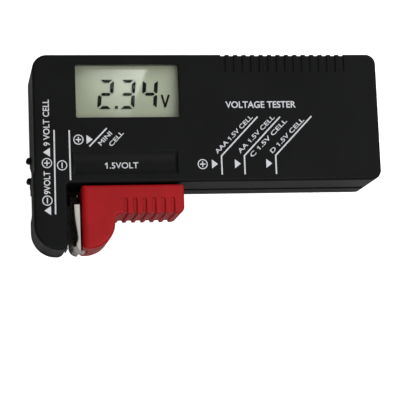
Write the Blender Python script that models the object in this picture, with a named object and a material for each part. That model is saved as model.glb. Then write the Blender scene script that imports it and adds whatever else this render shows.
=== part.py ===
"""Hand-held battery tester with a sprung slider, modelled as its separate pieces.

All sizes are in millimetres in the design frame and become metres in the mesh.
Design frame: X runs along the scale from the face of the fixed (negative) contact,
Y runs up from the lower wall of the case, Z runs from the back, which lies on the table.
SHIFT_X and SHIFT_Y put the middle of the whole outline over the world origin.
"""
import math

import bmesh
import bpy
from mathutils import Matrix, Vector

MM = 0.001
SHIFT_X = -40.75
SHIFT_Y = -9.5

# Case
CASE_LEFT = -10.45
CASE_RIGHT = 93.4
CASE_TOP = 38.5
CASE_LOW = 0.0
THICKNESS = 24.0
PARTING_Z = 9.5
PARTING_GAP = 0.3
WALL = 2.0
EDGE = 0.9
ARM_LEFT = -10.85
ARM_RIGHT = -1.0
ARM_LOW = -19.5
ARM_BACK_Z = 5.8
CORNER_TOP_LEFT = 4.4
CORNER = 3.0
CORNER_ARM_LEFT = 7.4
CORNER_ARM_RIGHT = 2.2

# Slot in the lower wall for the slider's web
SLOT = {"x0": 4.0, "x1": 91.0, "z0": 8.3, "z1": 10.7}

# Display window and the stack behind it, from the front wall to the board
WINDOW = {"x0": 2.2, "x1": 32.9, "y0": 19.5, "y1": 35.5}
LENS_Z = (20.7, 21.7)
LCD_Z = (18.3, 20.4)
ZEBRA_Z = (16.5, 18.0)
PCB_Z = (14.6, 16.2)
PCB_BOX = (-2.4, 41.5, 12.8, 36.0)

# Scoop under the display
SCOOP = {"x0": 0.7, "x1": 31.9, "y0": 2.3, "y1": 9.6, "depth": 1.0}

# Finger grooves along the top edge
GRIP_COUNT = 15
GRIP_PITCH = 2.59
GRIP_FIRST = 46.5
GRIP_WIDTH = 1.6
GRIP_LENGTH = 5.4
GRIP_DEPTH = 0.35

# Slider
SLIDER_Z = (6.0, 24.0)
SLIDER_LEFT = 3.2
SLIDER_RIGHT = 33.4
SLIDER_TOP = -0.6
SLIDER_LOW = -9.4
SLIDER_LEFT_EDGE = 1.9
LOBE_LOW = -19.3
LOBE_RIGHT = 12.85
RIDGE_COUNT = 6
RIDGE_PITCH = 2.775
RIDGE_FIRST = 16.05
RIDGE_DEPTH = 0.72
RIDGE_WIDTH = 1.28

# Metal parts
SHEET = 0.4
CONTACT_LOW = -19.5
SPRING_Y = 8.0
SPRING_Z = 9.5
SPRING_RADIUS = 1.35
SPRING_WIRE = 0.25
SPRING_TURNS = 26

# Screws: (x, y) of each, in the case and in the board
CASE_SCREWS = {
    "case_screw_top_left": (-5.4, 33.2),
    "case_screw_top_right": (88.4, 33.4),
    "case_screw_right": (88.4, 14.4),
    "case_screw_arm": (-6.0, -13.4),
}
PCB_SCREWS = {
    "pcb_screw_left": (0.6, 15.0),
    "pcb_screw_right": (38.4, 15.0),
    "pcb_screw_top": (38.4, 33.6),
}
BOSS_RADIUS = 2.7
PILOT_RADIUS = 1.1

# Nine volt contacts in the left wall
NINE_VOLT_Z = (7.7, 13.3)
PLUS_SPAN = (4.6, 8.4)
MINUS_SPAN = (-8.6, 1.2)
PEG_RADIUS = 0.85
PEG_TIP = 11.9

ARC_STEP = math.radians(10)


# ---------------------------------------------------------------- helpers

def clear_scene():
    for old in list(bpy.data.objects):
        bpy.data.objects.remove(old, do_unlink=True)


def make_material(name, colour, roughness, metallic=0.0, alpha=1.0):
    material = bpy.data.materials.new(name)
    material.use_nodes = True
    shader = material.node_tree.nodes["Principled BSDF"]
    shader.inputs["Base Color"].default_value = (*colour, 1.0)
    shader.inputs["Roughness"].default_value = roughness
    shader.inputs["Metallic"].default_value = metallic
    shader.inputs["Alpha"].default_value = alpha
    return material


def to_world(point):
    return Vector(((point[0] + SHIFT_X) * MM, (point[1] + SHIFT_Y) * MM, point[2] * MM))


def finish_object(name, mesh_data, material):
    """Turn a bmesh in design millimetres into an object, outward facing."""
    for vert in mesh_data.verts:
        vert.co = to_world(vert.co)
    bmesh.ops.recalc_face_normals(mesh_data, faces=mesh_data.faces)
    mesh = bpy.data.meshes.new(name)
    mesh_data.to_mesh(mesh)
    mesh_data.free()
    obj = bpy.data.objects.new(name, mesh)
    bpy.context.collection.objects.link(obj)
    if material:
        mesh.materials.append(material)
    return obj


def add_prism(mesh_data, outline, low, high, axis="z"):
    """Extrude a closed outline. The outline is (x, y) for z, (y, z) for x and (x, z) for y."""
    place = {
        "z": lambda u, v, w: (u, v, w),
        "x": lambda u, v, w: (w, u, v),
        "y": lambda u, v, w: (u, w, v),
    }[axis]
    bottom = [mesh_data.verts.new(place(u, v, low)) for u, v in outline]
    top = [mesh_data.verts.new(place(u, v, high)) for u, v in outline]
    count = len(outline)
    mesh_data.faces.new(bottom)
    mesh_data.faces.new(list(reversed(top)))
    for i in range(count):
        j = (i + 1) % count
        mesh_data.faces.new((bottom[i], top[i], top[j], bottom[j]))


def add_box(mesh_data, low, high):
    outline = [(low[0], low[1]), (high[0], low[1]), (high[0], high[1]), (low[0], high[1])]
    add_prism(mesh_data, outline, low[2], high[2])


def circle(centre, radius, steps=24):
    return [
        (centre[0] + radius * math.cos(i * math.tau / steps),
         centre[1] + radius * math.sin(i * math.tau / steps))
        for i in range(steps)
    ]


def rounded(corners):
    """Closed outline through (x, y, radius) corners, each rounded with an arc."""
    outline = []
    count = len(corners)
    for i, (x, y, radius) in enumerate(corners):
        here = Vector((x, y))
        before = (Vector(corners[i - 1][:2]) - here).normalized()
        after = (Vector(corners[(i + 1) % count][:2]) - here).normalized()
        if radius <= 0:
            outline.append((x, y))
            continue
        half = before.angle(after) / 2
        reach = radius / math.tan(half)
        centre = here + (before + after).normalized() * (radius / math.sin(half))
        start = here + before * reach - centre
        end = here + after * reach - centre
        turn = start.angle_signed(end)
        steps = max(2, int(abs(turn) / ARC_STEP) + 1)
        for k in range(steps + 1):
            spin = Matrix.Rotation(-turn * k / steps, 2)
            outline.append(tuple(centre + spin @ start))
    return outline


def bevel_flat_rim(mesh_data, height, width, segments=3):
    """Round the outer rim of the faces that lie at one height."""
    rim = [
        edge for edge in mesh_data.edges
        if all(abs(vert.co.z - height) < 1e-6 for vert in edge.verts)
    ]
    bmesh.ops.bevel(mesh_data, geom=rim, offset=width, segments=segments, profile=0.5,
                    affect="EDGES", clamp_overlap=True)


def cutter(name, build):
    """Hidden solid that a Boolean takes away or adds. build fills a bmesh."""
    mesh_data = bmesh.new()
    build(mesh_data)
    obj = finish_object(name, mesh_data, None)
    obj.hide_render = True
    obj.display_type = "WIRE"
    return obj


def combine(obj, tool, operation="DIFFERENCE"):
    modifier = obj.modifiers.new(tool.name, "BOOLEAN")
    modifier.operation = operation
    modifier.object = tool
    modifier.solver = "EXACT"


def strip_outline(route, thickness):
    """Outline of a bent strip of sheet metal that follows a route of (x, y) points."""
    points = [Vector(point) for point in route]
    left, right = [], []
    for i, point in enumerate(points):
        ahead = (points[min(i + 1, len(points) - 1)] - point)
        behind = (point - points[max(i - 1, 0)])
        if ahead.length == 0:
            ahead = behind
        if behind.length == 0:
            behind = ahead
        tangent = (ahead.normalized() + behind.normalized()).normalized()
        normal = Vector((-tangent.y, tangent.x))
        reach = thickness / 2 / max(0.3, normal.dot(Vector((-ahead.y, ahead.x)).normalized()))
        left.append(tuple(point + normal * reach))
        right.append(tuple(point - normal * reach))
    return left + right[::-1]


def shade_smooth(obj, angle=35):
    for face in obj.data.polygons:
        face.use_smooth = True
    obj.data.set_sharp_from_angle(angle=math.radians(angle))


def tube(name, route, radius, material, sides=3):
    """Round wire through a list of points, as a curve with flat caps."""
    curve = bpy.data.curves.new(name, "CURVE")
    curve.dimensions = "3D"
    spline = curve.splines.new("POLY")
    spline.points.add(len(route) - 1)
    for point, place in zip(spline.points, route):
        point.co = (*to_world(place), 1.0)
    curve.bevel_depth = radius * MM
    curve.bevel_resolution = sides
    curve.use_fill_caps = True
    curve.materials.append(material)
    obj = bpy.data.objects.new(name, curve)
    bpy.context.collection.objects.link(obj)
    return obj


def smooth_route(points, steps=5):
    """Catmull-Rom curve through hand-placed points."""
    ends = [points[0]] + list(points) + [points[-1]]
    route = []
    for i in range(1, len(ends) - 2):
        p0, p1, p2, p3 = (Vector(p) for p in ends[i - 1:i + 3])
        for k in range(steps):
            t = k / steps
            route.append(0.5 * ((2 * p1) + (p2 - p0) * t + (2 * p0 - 5 * p1 + 4 * p2 - p3) * t * t
                                + (3 * p1 - p0 - 3 * p2 + p3) * t ** 3))
    route.append(Vector(points[-1]))
    return route


# ---------------------------------------------------------------- case

def case_outline(inset=0.0):
    """Front view of the case with its arm, moved in by a wall thickness."""
    def radius(outer):
        return max(0.4, outer - inset)

    return rounded([
        (ARM_LEFT + inset, ARM_LOW + inset, radius(CORNER_ARM_LEFT)),
        (ARM_RIGHT - inset, ARM_LOW + inset, radius(CORNER_ARM_RIGHT)),
        (ARM_RIGHT - inset, CASE_LOW + inset, 0.8),
        (CASE_RIGHT - inset, CASE_LOW + inset, radius(CORNER)),
        (CASE_RIGHT - inset, CASE_TOP - inset, radius(CORNER)),
        (CASE_LEFT + inset, CASE_TOP - inset, radius(CORNER_TOP_LEFT)),
        (CASE_LEFT + inset, 3.9, 0),
        (ARM_LEFT + inset, 2.9, 0),
    ])


def cut_left_wall(obj, prefix):
    """Shallow hollows and windows for the two nine volt contacts."""
    def hollows(mesh_data):
        for (low, high), depth in ((PLUS_SPAN, 0.5), (MINUS_SPAN, 0.6)):
            chord = high - low + 0.6
            bend = chord ** 2 / (8 * depth) + depth / 2
            wall_x = CASE_LEFT if low > 0 else ARM_LEFT
            ring = [
                (wall_x + depth - bend + bend * math.cos(a), (low + high) / 2 + bend * math.sin(a))
                for a in [math.asin(chord / 2 / bend) * k * 0.16 for k in range(-7, 8)]
            ]
            outline = ring + [(wall_x - 2, high + 0.9), (wall_x - 2, low - 0.9)]
            add_prism(mesh_data, outline, -1, 13.0)

    def windows(mesh_data):
        for low, high in (PLUS_SPAN, MINUS_SPAN):
            add_box(mesh_data, (ARM_LEFT - 1, low + 0.5, NINE_VOLT_Z[0]),
                    (CASE_LEFT + WALL + 0.5, high - 0.5, NINE_VOLT_Z[1]))

    combine(obj, cutter(prefix + "_finger_cut", hollows))
    combine(obj, cutter(prefix + "_window_cut", windows))


def cut_slot(obj, prefix):
    def build(mesh_data):
        add_box(mesh_data, (SLOT["x0"], CASE_LOW - 2, SLOT["z0"]),
                (SLOT["x1"], CASE_LOW + WALL + 1, SLOT["z1"]))

    combine(obj, cutter(prefix + "_slot_cut", build))


def front_case(material):
    low = PARTING_Z + PARTING_GAP / 2
    mesh_data = bmesh.new()
    add_prism(mesh_data, case_outline(), low, THICKNESS)
    bevel_flat_rim(mesh_data, THICKNESS, EDGE)
    obj = finish_object("front_case", mesh_data, material)
    inner_front = THICKNESS - WALL

    def hollow(mesh):
        add_prism(mesh, case_outline(WALL), 0, inner_front)

    combine(obj, cutter("front_hollow_cut", hollow))

    def bosses(mesh):
        for x, y in CASE_SCREWS.values():
            add_prism(mesh, circle((x, y), BOSS_RADIUS), low + 0.1, inner_front + 0.5)
        for x, y in PCB_SCREWS.values():
            add_prism(mesh, circle((x, y), 2.0), PCB_Z[1] + 0.3, inner_front + 0.5)
        for x0, x1 in ((WINDOW["x0"] - 2.0, WINDOW["x0"] - 1.2), (WINDOW["x1"] + 1.2, WINDOW["x1"] + 2.0)):
            add_box(mesh, (x0, WINDOW["y0"] + 1, 19.0), (x1, WINDOW["y1"] - 1, inner_front + 0.5))

    combine(obj, cutter("front_boss_add", bosses), "UNION")

    def holes(mesh):
        for x, y in CASE_SCREWS.values():
            add_prism(mesh, circle((x, y), PILOT_RADIUS, 12), 0, 19.5)
        for x, y in PCB_SCREWS.values():
            add_prism(mesh, circle((x, y), 0.9, 12), 0, 21.0)
        add_box(mesh, (WINDOW["x0"], WINDOW["y0"], inner_front - 1),
                (WINDOW["x1"], WINDOW["y1"], THICKNESS + 1))
        add_box(mesh, (ARM_RIGHT - WALL - 1, -4.0, low - 1), (ARM_RIGHT + 1, -2.9, 20.4))

    combine(obj, cutter("front_hole_cut", holes))
    combine(obj, cutter("front_scoop_cut", scoop))
    combine(obj, cutter("front_grip_cut", grip_grooves))
    cut_slot(obj, "front")
    cut_left_wall(obj, "front")
    shade_smooth(obj)
    return obj


def scoop(mesh_data):
    """Cylinder that leaves the finger hollow under the display."""
    width = SCOOP["y1"] - SCOOP["y0"]
    depth = SCOOP["depth"]
    bend = width ** 2 / (8 * depth) + depth / 2
    middle = (SCOOP["y0"] + SCOOP["y1"]) / 2
    reach = math.asin(width / 2 / bend)
    arc = [
        (middle + bend * math.sin(reach * k / 8),
         THICKNESS - depth + bend - bend * math.cos(reach * k / 8))
        for k in range(-8, 9)
    ]
    outline = arc + [(SCOOP["y1"], THICKNESS + 1), (SCOOP["y0"], THICKNESS + 1)]
    add_prism(mesh_data, outline, SCOOP["x0"], SCOOP["x1"], "x")


def grip_grooves(mesh_data):
    """Grooves of even depth that start on the front and run round the rim and down the top."""
    rim = [
        (CASE_TOP - EDGE + (EDGE - GRIP_DEPTH) * math.sin(math.radians(a)),
         THICKNESS - EDGE + (EDGE - GRIP_DEPTH) * math.cos(math.radians(a)))
        for a in (0, 30, 60, 90)
    ]
    profile = [
        (CASE_TOP - GRIP_LENGTH, THICKNESS + 1), (CASE_TOP - GRIP_LENGTH, THICKNESS - GRIP_DEPTH),
        *rim, (CASE_TOP - GRIP_DEPTH, PARTING_Z - 3), (CASE_TOP + 1, PARTING_Z - 3),
        (CASE_TOP + 1, THICKNESS + 1),
    ]
    for i in range(GRIP_COUNT):
        x = GRIP_FIRST + i * GRIP_PITCH
        add_prism(mesh_data, profile, x - GRIP_WIDTH / 2, x + GRIP_WIDTH / 2, "x")


def rear_case(material):
    high = PARTING_Z - PARTING_GAP / 2
    mesh_data = bmesh.new()
    add_prism(mesh_data, rounded([
        (CASE_LEFT, CASE_LOW, 0), (CASE_RIGHT, CASE_LOW, CORNER),
        (CASE_RIGHT, CASE_TOP, CORNER), (CASE_LEFT, CASE_TOP, CORNER_TOP_LEFT),
    ]), 0, high)
    bevel_flat_rim(mesh_data, 0, EDGE)
    obj = finish_object("rear_case", mesh_data, material)

    def arm(mesh):
        add_prism(mesh, rounded([
            (ARM_LEFT, ARM_LOW, CORNER_ARM_LEFT), (ARM_RIGHT, ARM_LOW, CORNER_ARM_RIGHT),
            (ARM_RIGHT, CASE_LOW + 1, 0), (CASE_LEFT + 1, CASE_LOW + 1, 0),
            (CASE_LEFT + 1, 4.4, 0), (CASE_LEFT + 0.2, 4.4, 0), (ARM_LEFT, 2.9, 0),
        ]), ARM_BACK_Z, high)
        bevel_flat_rim(mesh, ARM_BACK_Z, EDGE)

    combine(obj, cutter("rear_arm_add", arm), "UNION")

    def hollow(mesh):
        add_prism(mesh, rounded([
            (CASE_LEFT + WALL, CASE_LOW + WALL, 1.0), (CASE_RIGHT - WALL, CASE_LOW + WALL, 1.0),
            (CASE_RIGHT - WALL, CASE_TOP - WALL, 1.0), (CASE_LEFT + WALL, CASE_TOP - WALL, 2.4),
        ]), WALL, PARTING_Z + 2)

    combine(obj, cutter("rear_hollow_cut", hollow))

    def arm_hollow(mesh):
        add_prism(mesh, rounded([
            (ARM_LEFT + WALL, ARM_LOW + WALL, CORNER_ARM_LEFT - WALL), (ARM_RIGHT - WALL, ARM_LOW + WALL, 0.4),
            (ARM_RIGHT - WALL, CASE_LOW + WALL + 0.7, 0), (ARM_LEFT + WALL, CASE_LOW + WALL + 0.7, 0),
        ]), ARM_BACK_Z + 1.5, PARTING_Z + 2)

    combine(obj, cutter("rear_arm_hollow_cut", arm_hollow))

    def bosses(mesh):
        for name, (x, y) in CASE_SCREWS.items():
            floor = ARM_BACK_Z + 0.8 if name == "case_screw_arm" else 1.0
            add_prism(mesh, circle((x, y), BOSS_RADIUS + 0.5), floor, high - 0.1)

    combine(obj, cutter("rear_boss_add", bosses), "UNION")

    def bores(mesh):
        for x, y in CASE_SCREWS.values():
            add_prism(mesh, circle((x, y), PILOT_RADIUS + 0.1, 12), -1, PARTING_Z + 1)

    combine(obj, cutter("rear_bore_cut", bores))

    def sinks(mesh):
        for name, (x, y) in CASE_SCREWS.items():
            seat = seat_height(name)
            add_prism(mesh, circle((x, y), 2.3), -1, seat)
        add_prism(mesh, rounded([(14, 8, 1.5), (74, 8, 1.5), (74, 31, 1.5), (14, 31, 1.5)]), -1, 0.3)

    combine(obj, cutter("rear_sink_cut", sinks))
    combine(obj, cutter("rear_grip_cut", grip_grooves))
    cut_slot(obj, "rear")
    cut_left_wall(obj, "rear")

    def pegs(mesh):
        for y in (9.6, 3.4):
            root = (CASE_LEFT + 0.6, y)
            outline = circle((-PEG_TIP + PEG_RADIUS, y), PEG_RADIUS, 16)[4:13]
            outline += [(root[0], y - PEG_RADIUS), (root[0], y + PEG_RADIUS)]
            add_prism(mesh, outline, 6.4, 8.9)

    combine(obj, cutter("rear_peg_add", pegs), "UNION")
    shade_smooth(obj)
    return obj


def seat_height(name):
    """Height of the face that a case screw's head bears on."""
    return ARM_BACK_Z + 1.9 if name == "case_screw_arm" else 3.6


# ---------------------------------------------------------------- slider

def slider(material):
    mesh_data = bmesh.new()
    outline = rounded([
        (SLIDER_LEFT, LOBE_LOW, 1.3), (LOBE_RIGHT, LOBE_LOW, 7.7), (LOBE_RIGHT, SLIDER_LOW, 1.7),
        (SLIDER_RIGHT, SLIDER_LOW, 2.2), (SLIDER_RIGHT, SLIDER_TOP, 0.8),
        (SLIDER_LEFT, SLIDER_TOP, 0.8),
    ])
    add_prism(mesh_data, outline, *SLIDER_Z)
    bevel_flat_rim(mesh_data, SLIDER_Z[1], 0.6)
    bevel_flat_rim(mesh_data, SLIDER_Z[0], 0.6)
    obj = finish_object("slider", mesh_data, material)

    def runner(mesh):
        add_box(mesh, (9.5, SLIDER_TOP - 1, SLOT["z0"] + 0.3), (28.4, CASE_LOW + 2.5, SLOT["z1"] - 0.3))

    def foot(mesh):
        add_box(mesh, (9.5, CASE_LOW + WALL + 0.3, 6.0), (28.4, CASE_LOW + 4.3, 13.0))

    combine(obj, cutter("slider_runner_add", runner), "UNION")
    combine(obj, cutter("slider_foot_add", foot), "UNION")

    def left_edge(mesh):
        """What rounding the edge beside the contact takes away."""
        radius = SLIDER_LEFT_EDGE
        arc = [
            (SLIDER_LEFT + radius * (1 - math.cos(math.radians(a))),
             SLIDER_Z[1] - radius * (1 - math.sin(math.radians(a))))
            for a in range(0, 91, 15)
        ]
        outline = [(SLIDER_LEFT - 1, arc[0][1]), *arc, (arc[-1][0], SLIDER_Z[1] + 1),
                   (SLIDER_LEFT - 1, SLIDER_Z[1] + 1)]
        add_prism(mesh, outline, LOBE_LOW - 1, SLIDER_TOP + 1, "y")

    combine(obj, cutter("slider_left_edge_cut", left_edge))

    def ridges(mesh):
        """Channels under the grip, steep on their right and easing out on their left."""
        recess = SLIDER_LOW + RIDGE_DEPTH
        half = RIDGE_WIDTH / 2
        for i in range(RIDGE_COUNT):
            x = RIDGE_FIRST + i * RIDGE_PITCH
            outline = [(x - half - 0.6, SLIDER_LOW - 1), (x - half - 0.6, SLIDER_LOW + 0.03),
                       (x - half, recess), (x + half - 0.15, recess), (x + half, SLIDER_LOW - 1)]
            add_prism(mesh, outline, SLIDER_Z[0] - 1, SLIDER_Z[1] + 1)

    combine(obj, cutter("slider_ridge_cut", ridges))

    def front_grooves(mesh):
        profile = [(-4.6, 24.0), (-4.6, 25.5), (-11, 25.5), (-11, 21.5), (SLIDER_LOW + 1, 23.1),
                   (-4.9, 23.3)]
        for i in range(RIDGE_COUNT):
            x = RIDGE_FIRST + i * RIDGE_PITCH
            add_prism(mesh, profile, x - RIDGE_WIDTH / 2 + 0.02, x + RIDGE_WIDTH / 2 - 0.02, "x")

    combine(obj, cutter("slider_groove_cut", front_grooves))

    def tail_slot(mesh):
        add_prism(mesh, [
            (SLIDER_LEFT - 1, -3.1), (9.3, -3.1), (9.3, SLIDER_TOP + 1), (8.2, SLIDER_TOP + 1),
            (8.2, -1.8), (SLIDER_LEFT - 1, -1.8),
        ], SLOT["z0"], SLOT["z1"])

    combine(obj, cutter("slider_tail_cut", tail_slot))

    def pockets(mesh):
        add_box(mesh, (15.6, -7.0, SLIDER_Z[0] - 1), (31.8, -2.4, 20.5))
        add_box(mesh, (5.2, -15.4, SLIDER_Z[0] - 1), (10.2, -4.6, 20.5))
        add_box(mesh, (SLIDER_LEFT - 1, LOBE_LOW - 1, 11.4), (SLIDER_LEFT + 1.8, LOBE_LOW + 0.9, 18.6))

    combine(obj, cutter("slider_pocket_cut", pockets))
    shade_smooth(obj)
    return obj


# ---------------------------------------------------------------- metal parts

def bulge(inset, ends=0.0):
    """Section of the sprung contact as (x, z): a flat face with well rounded ends."""
    half = 7.6 - ends
    middle = (SLIDER_Z[0] + SLIDER_Z[1]) / 2
    flat_x, apex_x = SLIDER_LEFT - 0.3, 0.1 + inset
    power = 2 / 4.5
    arc = []
    for k in range(-10, 11):
        turn = math.pi / 2 * k / 10
        across = math.cos(turn) ** power if abs(k) < 10 else 0.0
        along = math.copysign(abs(math.sin(turn)) ** power, turn)
        arc.append((flat_x - (flat_x - apex_x) * across, middle + half * along))
    return arc


def positive_contact(material):
    mesh_data = bmesh.new()
    add_prism(mesh_data, bulge(0.0), CONTACT_LOW, -2.2, "y")
    obj = finish_object("positive_contact", mesh_data, material)

    def inside(mesh):
        arc = bulge(SHEET, SHEET)
        outline = arc + [(SLIDER_LEFT + 1, arc[-1][1]), (SLIDER_LEFT + 1, arc[0][1])]
        add_prism(mesh, outline, CONTACT_LOW + SHEET, 0, "y")

    combine(obj, cutter("contact_inside_cut", inside))

    def tail(mesh):
        route = [(0.2, -2.45), (8.75, -2.45), (8.75, 4.85), (27.2, 4.85), (27.2, 9.6)]
        add_prism(mesh, strip_outline(route, SHEET), SLOT["z0"] + 0.4, SLOT["z1"] - 0.4)

    combine(obj, cutter("contact_tail_add", tail), "UNION")

    def hook(mesh):
        add_box(mesh, (1.5, CONTACT_LOW, 12.0), (SLIDER_LEFT + 1.4, CONTACT_LOW + SHEET, 18.0))

    combine(obj, cutter("contact_hook_add", hook), "UNION")

    def eye(mesh):
        add_prism(mesh, [(y, z) for y, z in circle((SPRING_Y, SPRING_Z), 0.45, 10)], 26.5, 28, "x")

    combine(obj, cutter("contact_eye_cut", eye))
    shade_smooth(obj)
    return obj


def negative_contact(material):
    """Flat leaf beside the arm, held by a leg through the arm's wall."""
    mesh_data = bmesh.new()
    add_box(mesh_data, (-0.65, -18.4, 7.4), (-0.65 + SHEET, -3.65 + SHEET, 22.4))
    obj = finish_object("negative_contact", mesh_data, material)

    def leg(mesh):
        add_box(mesh, (-6.2, -3.65, 10.2), (-0.45, -3.65 + SHEET, 20.0))

    combine(obj, cutter("negative_leg_add", leg), "UNION")
    return obj


def nine_volt_contact(name, span, wall_x, material):
    """Hat-shaped strip behind the wall whose crown stands in its window."""
    low, high = span
    back = wall_x + WALL + 0.5
    crown = wall_x + 0.9
    route = [
        (back, low - 1.4), (back, low + 0.9), (crown, low + 1.3),
        (crown, high - 1.3), (back, high - 0.9), (back, high + 1.4),
    ]
    mesh_data = bmesh.new()
    add_prism(mesh_data, strip_outline(route, SHEET), NINE_VOLT_Z[0] + 0.3, NINE_VOLT_Z[1] - 0.3)
    return finish_object(name, mesh_data, material)


def return_spring(material):
    """Tension spring from the anchor to the tail of the sprung contact."""
    start, end = -3.9, 25.6
    route = [(-5.6, SPRING_Y, SPRING_Z), (start - 0.6, SPRING_Y, SPRING_Z)]
    steps = SPRING_TURNS * 9
    for i in range(steps + 1):
        angle = math.tau * i / 9
        route.append((start + (end - start) * i / steps,
                      SPRING_Y + SPRING_RADIUS * math.cos(angle),
                      SPRING_Z + SPRING_RADIUS * math.sin(angle)))
    route += [(end + 0.5, SPRING_Y, SPRING_Z), (28.2, SPRING_Y, SPRING_Z)]
    return tube("return_spring", route, SPRING_WIRE, material, sides=1)


def spring_anchor(material):
    """Terminal with an eye, standing on the floor of the rear case."""
    mesh_data = bmesh.new()
    add_prism(mesh_data, strip_outline([(-7.6, 2.6), (-5.0, 2.6), (-5.0, 11.8)], SHEET), 6.5, 11.9)
    obj = finish_object("spring_anchor", mesh_data, material)

    def eye(mesh):
        add_prism(mesh, circle((SPRING_Y, SPRING_Z), 0.45, 10), -6, -4, "x")

    combine(obj, cutter("anchor_eye_cut", eye))
    return obj


def screw(name, place, seat, length, head_radius, material):
    """Pan head screw that points up from the face its head bears on."""
    x, y = place
    top = seat - 0.2
    profile_head = circle((x, y), head_radius, 20)
    mesh_data = bmesh.new()
    add_prism(mesh_data, profile_head, top - 1.4, top)
    bevel_flat_rim(mesh_data, top - 1.4, 0.4, 2)
    obj = finish_object(name, mesh_data, material)

    def shank(mesh):
        add_prism(mesh, circle((x, y), 0.7, 10), top - 0.5, top + length)

    combine(obj, cutter(name + "_shank_add", shank), "UNION")

    def cross(mesh):
        add_box(mesh, (x - 1.1, y - 0.25, top - 3), (x + 1.1, y + 0.25, top - 0.8))

    def cross_over(mesh):
        add_box(mesh, (x - 0.25, y - 1.1, top - 3), (x + 0.25, y + 1.1, top - 0.8))

    combine(obj, cutter(name + "_cross_cut", cross))
    combine(obj, cutter(name + "_cross_over_cut", cross_over))
    shade_smooth(obj)
    return obj


# ---------------------------------------------------------------- display and electronics

def plain_block(name, low, high, material, edge=0.0):
    mesh_data = bmesh.new()
    add_box(mesh_data, low, high)
    if edge:
        bmesh.ops.bevel(mesh_data, geom=list(mesh_data.edges), offset=edge, segments=1,
                        affect="EDGES")
    return finish_object(name, mesh_data, material)


def display_stack(materials):
    margin = 0.7
    plain_block("lcd_window",
                (WINDOW["x0"] - margin, WINDOW["y0"] - margin, LENS_Z[0]),
                (WINDOW["x1"] + margin, WINDOW["y1"] + margin, LENS_Z[1]), materials["lens"])
    plain_block("lcd_panel",
                (WINDOW["x0"] - 0.6, WINDOW["y0"] - 1.6, LCD_Z[0]),
                (WINDOW["x1"] + 0.6, WINDOW["y1"] + margin, LCD_Z[1]), materials["lcd"])
    for name, y in (("zebra_strip_upper", WINDOW["y1"] - 0.9), ("zebra_strip_lower", WINDOW["y0"] - 0.4)):
        plain_block(name, (WINDOW["x0"] + 1, y - 0.9, ZEBRA_Z[0]),
                    (WINDOW["x1"] - 1, y + 0.9, ZEBRA_Z[1]), materials["rubber"])


def pcb(material):
    x0, x1, y0, y1 = PCB_BOX
    mesh_data = bmesh.new()
    add_box(mesh_data, (x0, y0, PCB_Z[0]), (x1, y1, PCB_Z[1]))
    obj = finish_object("pcb", mesh_data, material)

    def holes(mesh):
        for x, y in PCB_SCREWS.values():
            add_prism(mesh, circle((x, y), 1.2, 12), PCB_Z[0] - 1, PCB_Z[1] + 1)

    combine(obj, cutter("pcb_hole_cut", holes))
    return obj


def dome(name, centre, radius, height, material):
    """Drop of epoxy hanging under the board."""
    x, y = centre
    top = PCB_Z[0] - 0.3
    mesh_data = bmesh.new()
    rings = []
    for k in range(5):
        angle = math.radians(18 * k)
        rings.append([
            mesh_data.verts.new((px, py, top - height * math.sin(angle)))
            for px, py in circle((x, y), radius * math.cos(angle), 20)
        ])
    for lower, upper in zip(rings, rings[1:]):
        for i in range(20):
            j = (i + 1) % 20
            mesh_data.faces.new((lower[i], lower[j], upper[j], upper[i]))
    mesh_data.faces.new(rings[0])
    tip = mesh_data.verts.new((x, y, top - height))
    for i in range(20):
        mesh_data.faces.new((rings[-1][i], rings[-1][(i + 1) % 20], tip))
    obj = finish_object(name, mesh_data, material)
    shade_smooth(obj)
    return obj


def electronics(materials):
    top = PCB_Z[0] - 0.3
    dome("cob_chip", (17.0, 26.0), 4.6, 1.4, materials["epoxy"])
    chips = {
        "resistor_1": (27.0, 31.5), "resistor_2": (27.0, 29.0), "resistor_3": (27.0, 26.5),
        "resistor_4": (27.0, 24.0), "capacitor_1": (7.0, 31.0), "capacitor_2": (7.0, 28.0),
    }
    for name, (x, y) in chips.items():
        kind = materials["ceramic"] if name.startswith("capacitor") else materials["resistor"]
        plain_block(name, (x - 1.0, y - 0.65, top - 0.7), (x + 1.0, y + 0.65, top), kind, 0.12)
    plain_block("transistor", (31.5, 19.0, top - 1.1), (34.5, 20.6, top), materials["epoxy"], 0.15)

    def can(name, place, radius, height, material):
        mesh_data = bmesh.new()
        add_prism(mesh_data, circle(place, radius, 20), top - height, top)
        bevel_flat_rim(mesh_data, top - height, 0.3, 2)
        obj = finish_object(name, mesh_data, material)
        shade_smooth(obj)
        return obj

    can("electrolytic_capacitor", (34.6, 25.4), 2.0, 5.4, materials["can"])
    inductor = can("boost_inductor", (9.0, 21.4), 2.6, 4.2, materials["ferrite"])

    def waist(mesh):
        ring_out = circle((9.0, 21.4), 3.5, 20)
        ring_in = circle((9.0, 21.4), 2.0, 20)
        for i in range(20):
            j = (i + 1) % 20
            corners = [
                [mesh.verts.new((*ring[k], z)) for ring in (ring_out, ring_in) for k in (i, j)]
                for z in (top - 3.2, top - 1.0)
            ]
            (a, b, c, d), (e, f, g, h) = corners
            for face in ((a, b, d, c), (e, g, h, f), (a, e, f, b), (c, d, h, g)):
                mesh.faces.new(face)
        bmesh.ops.remove_doubles(mesh, verts=mesh.verts, dist=1e-5)

    combine(inductor, cutter("inductor_waist_cut", waist))


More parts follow.
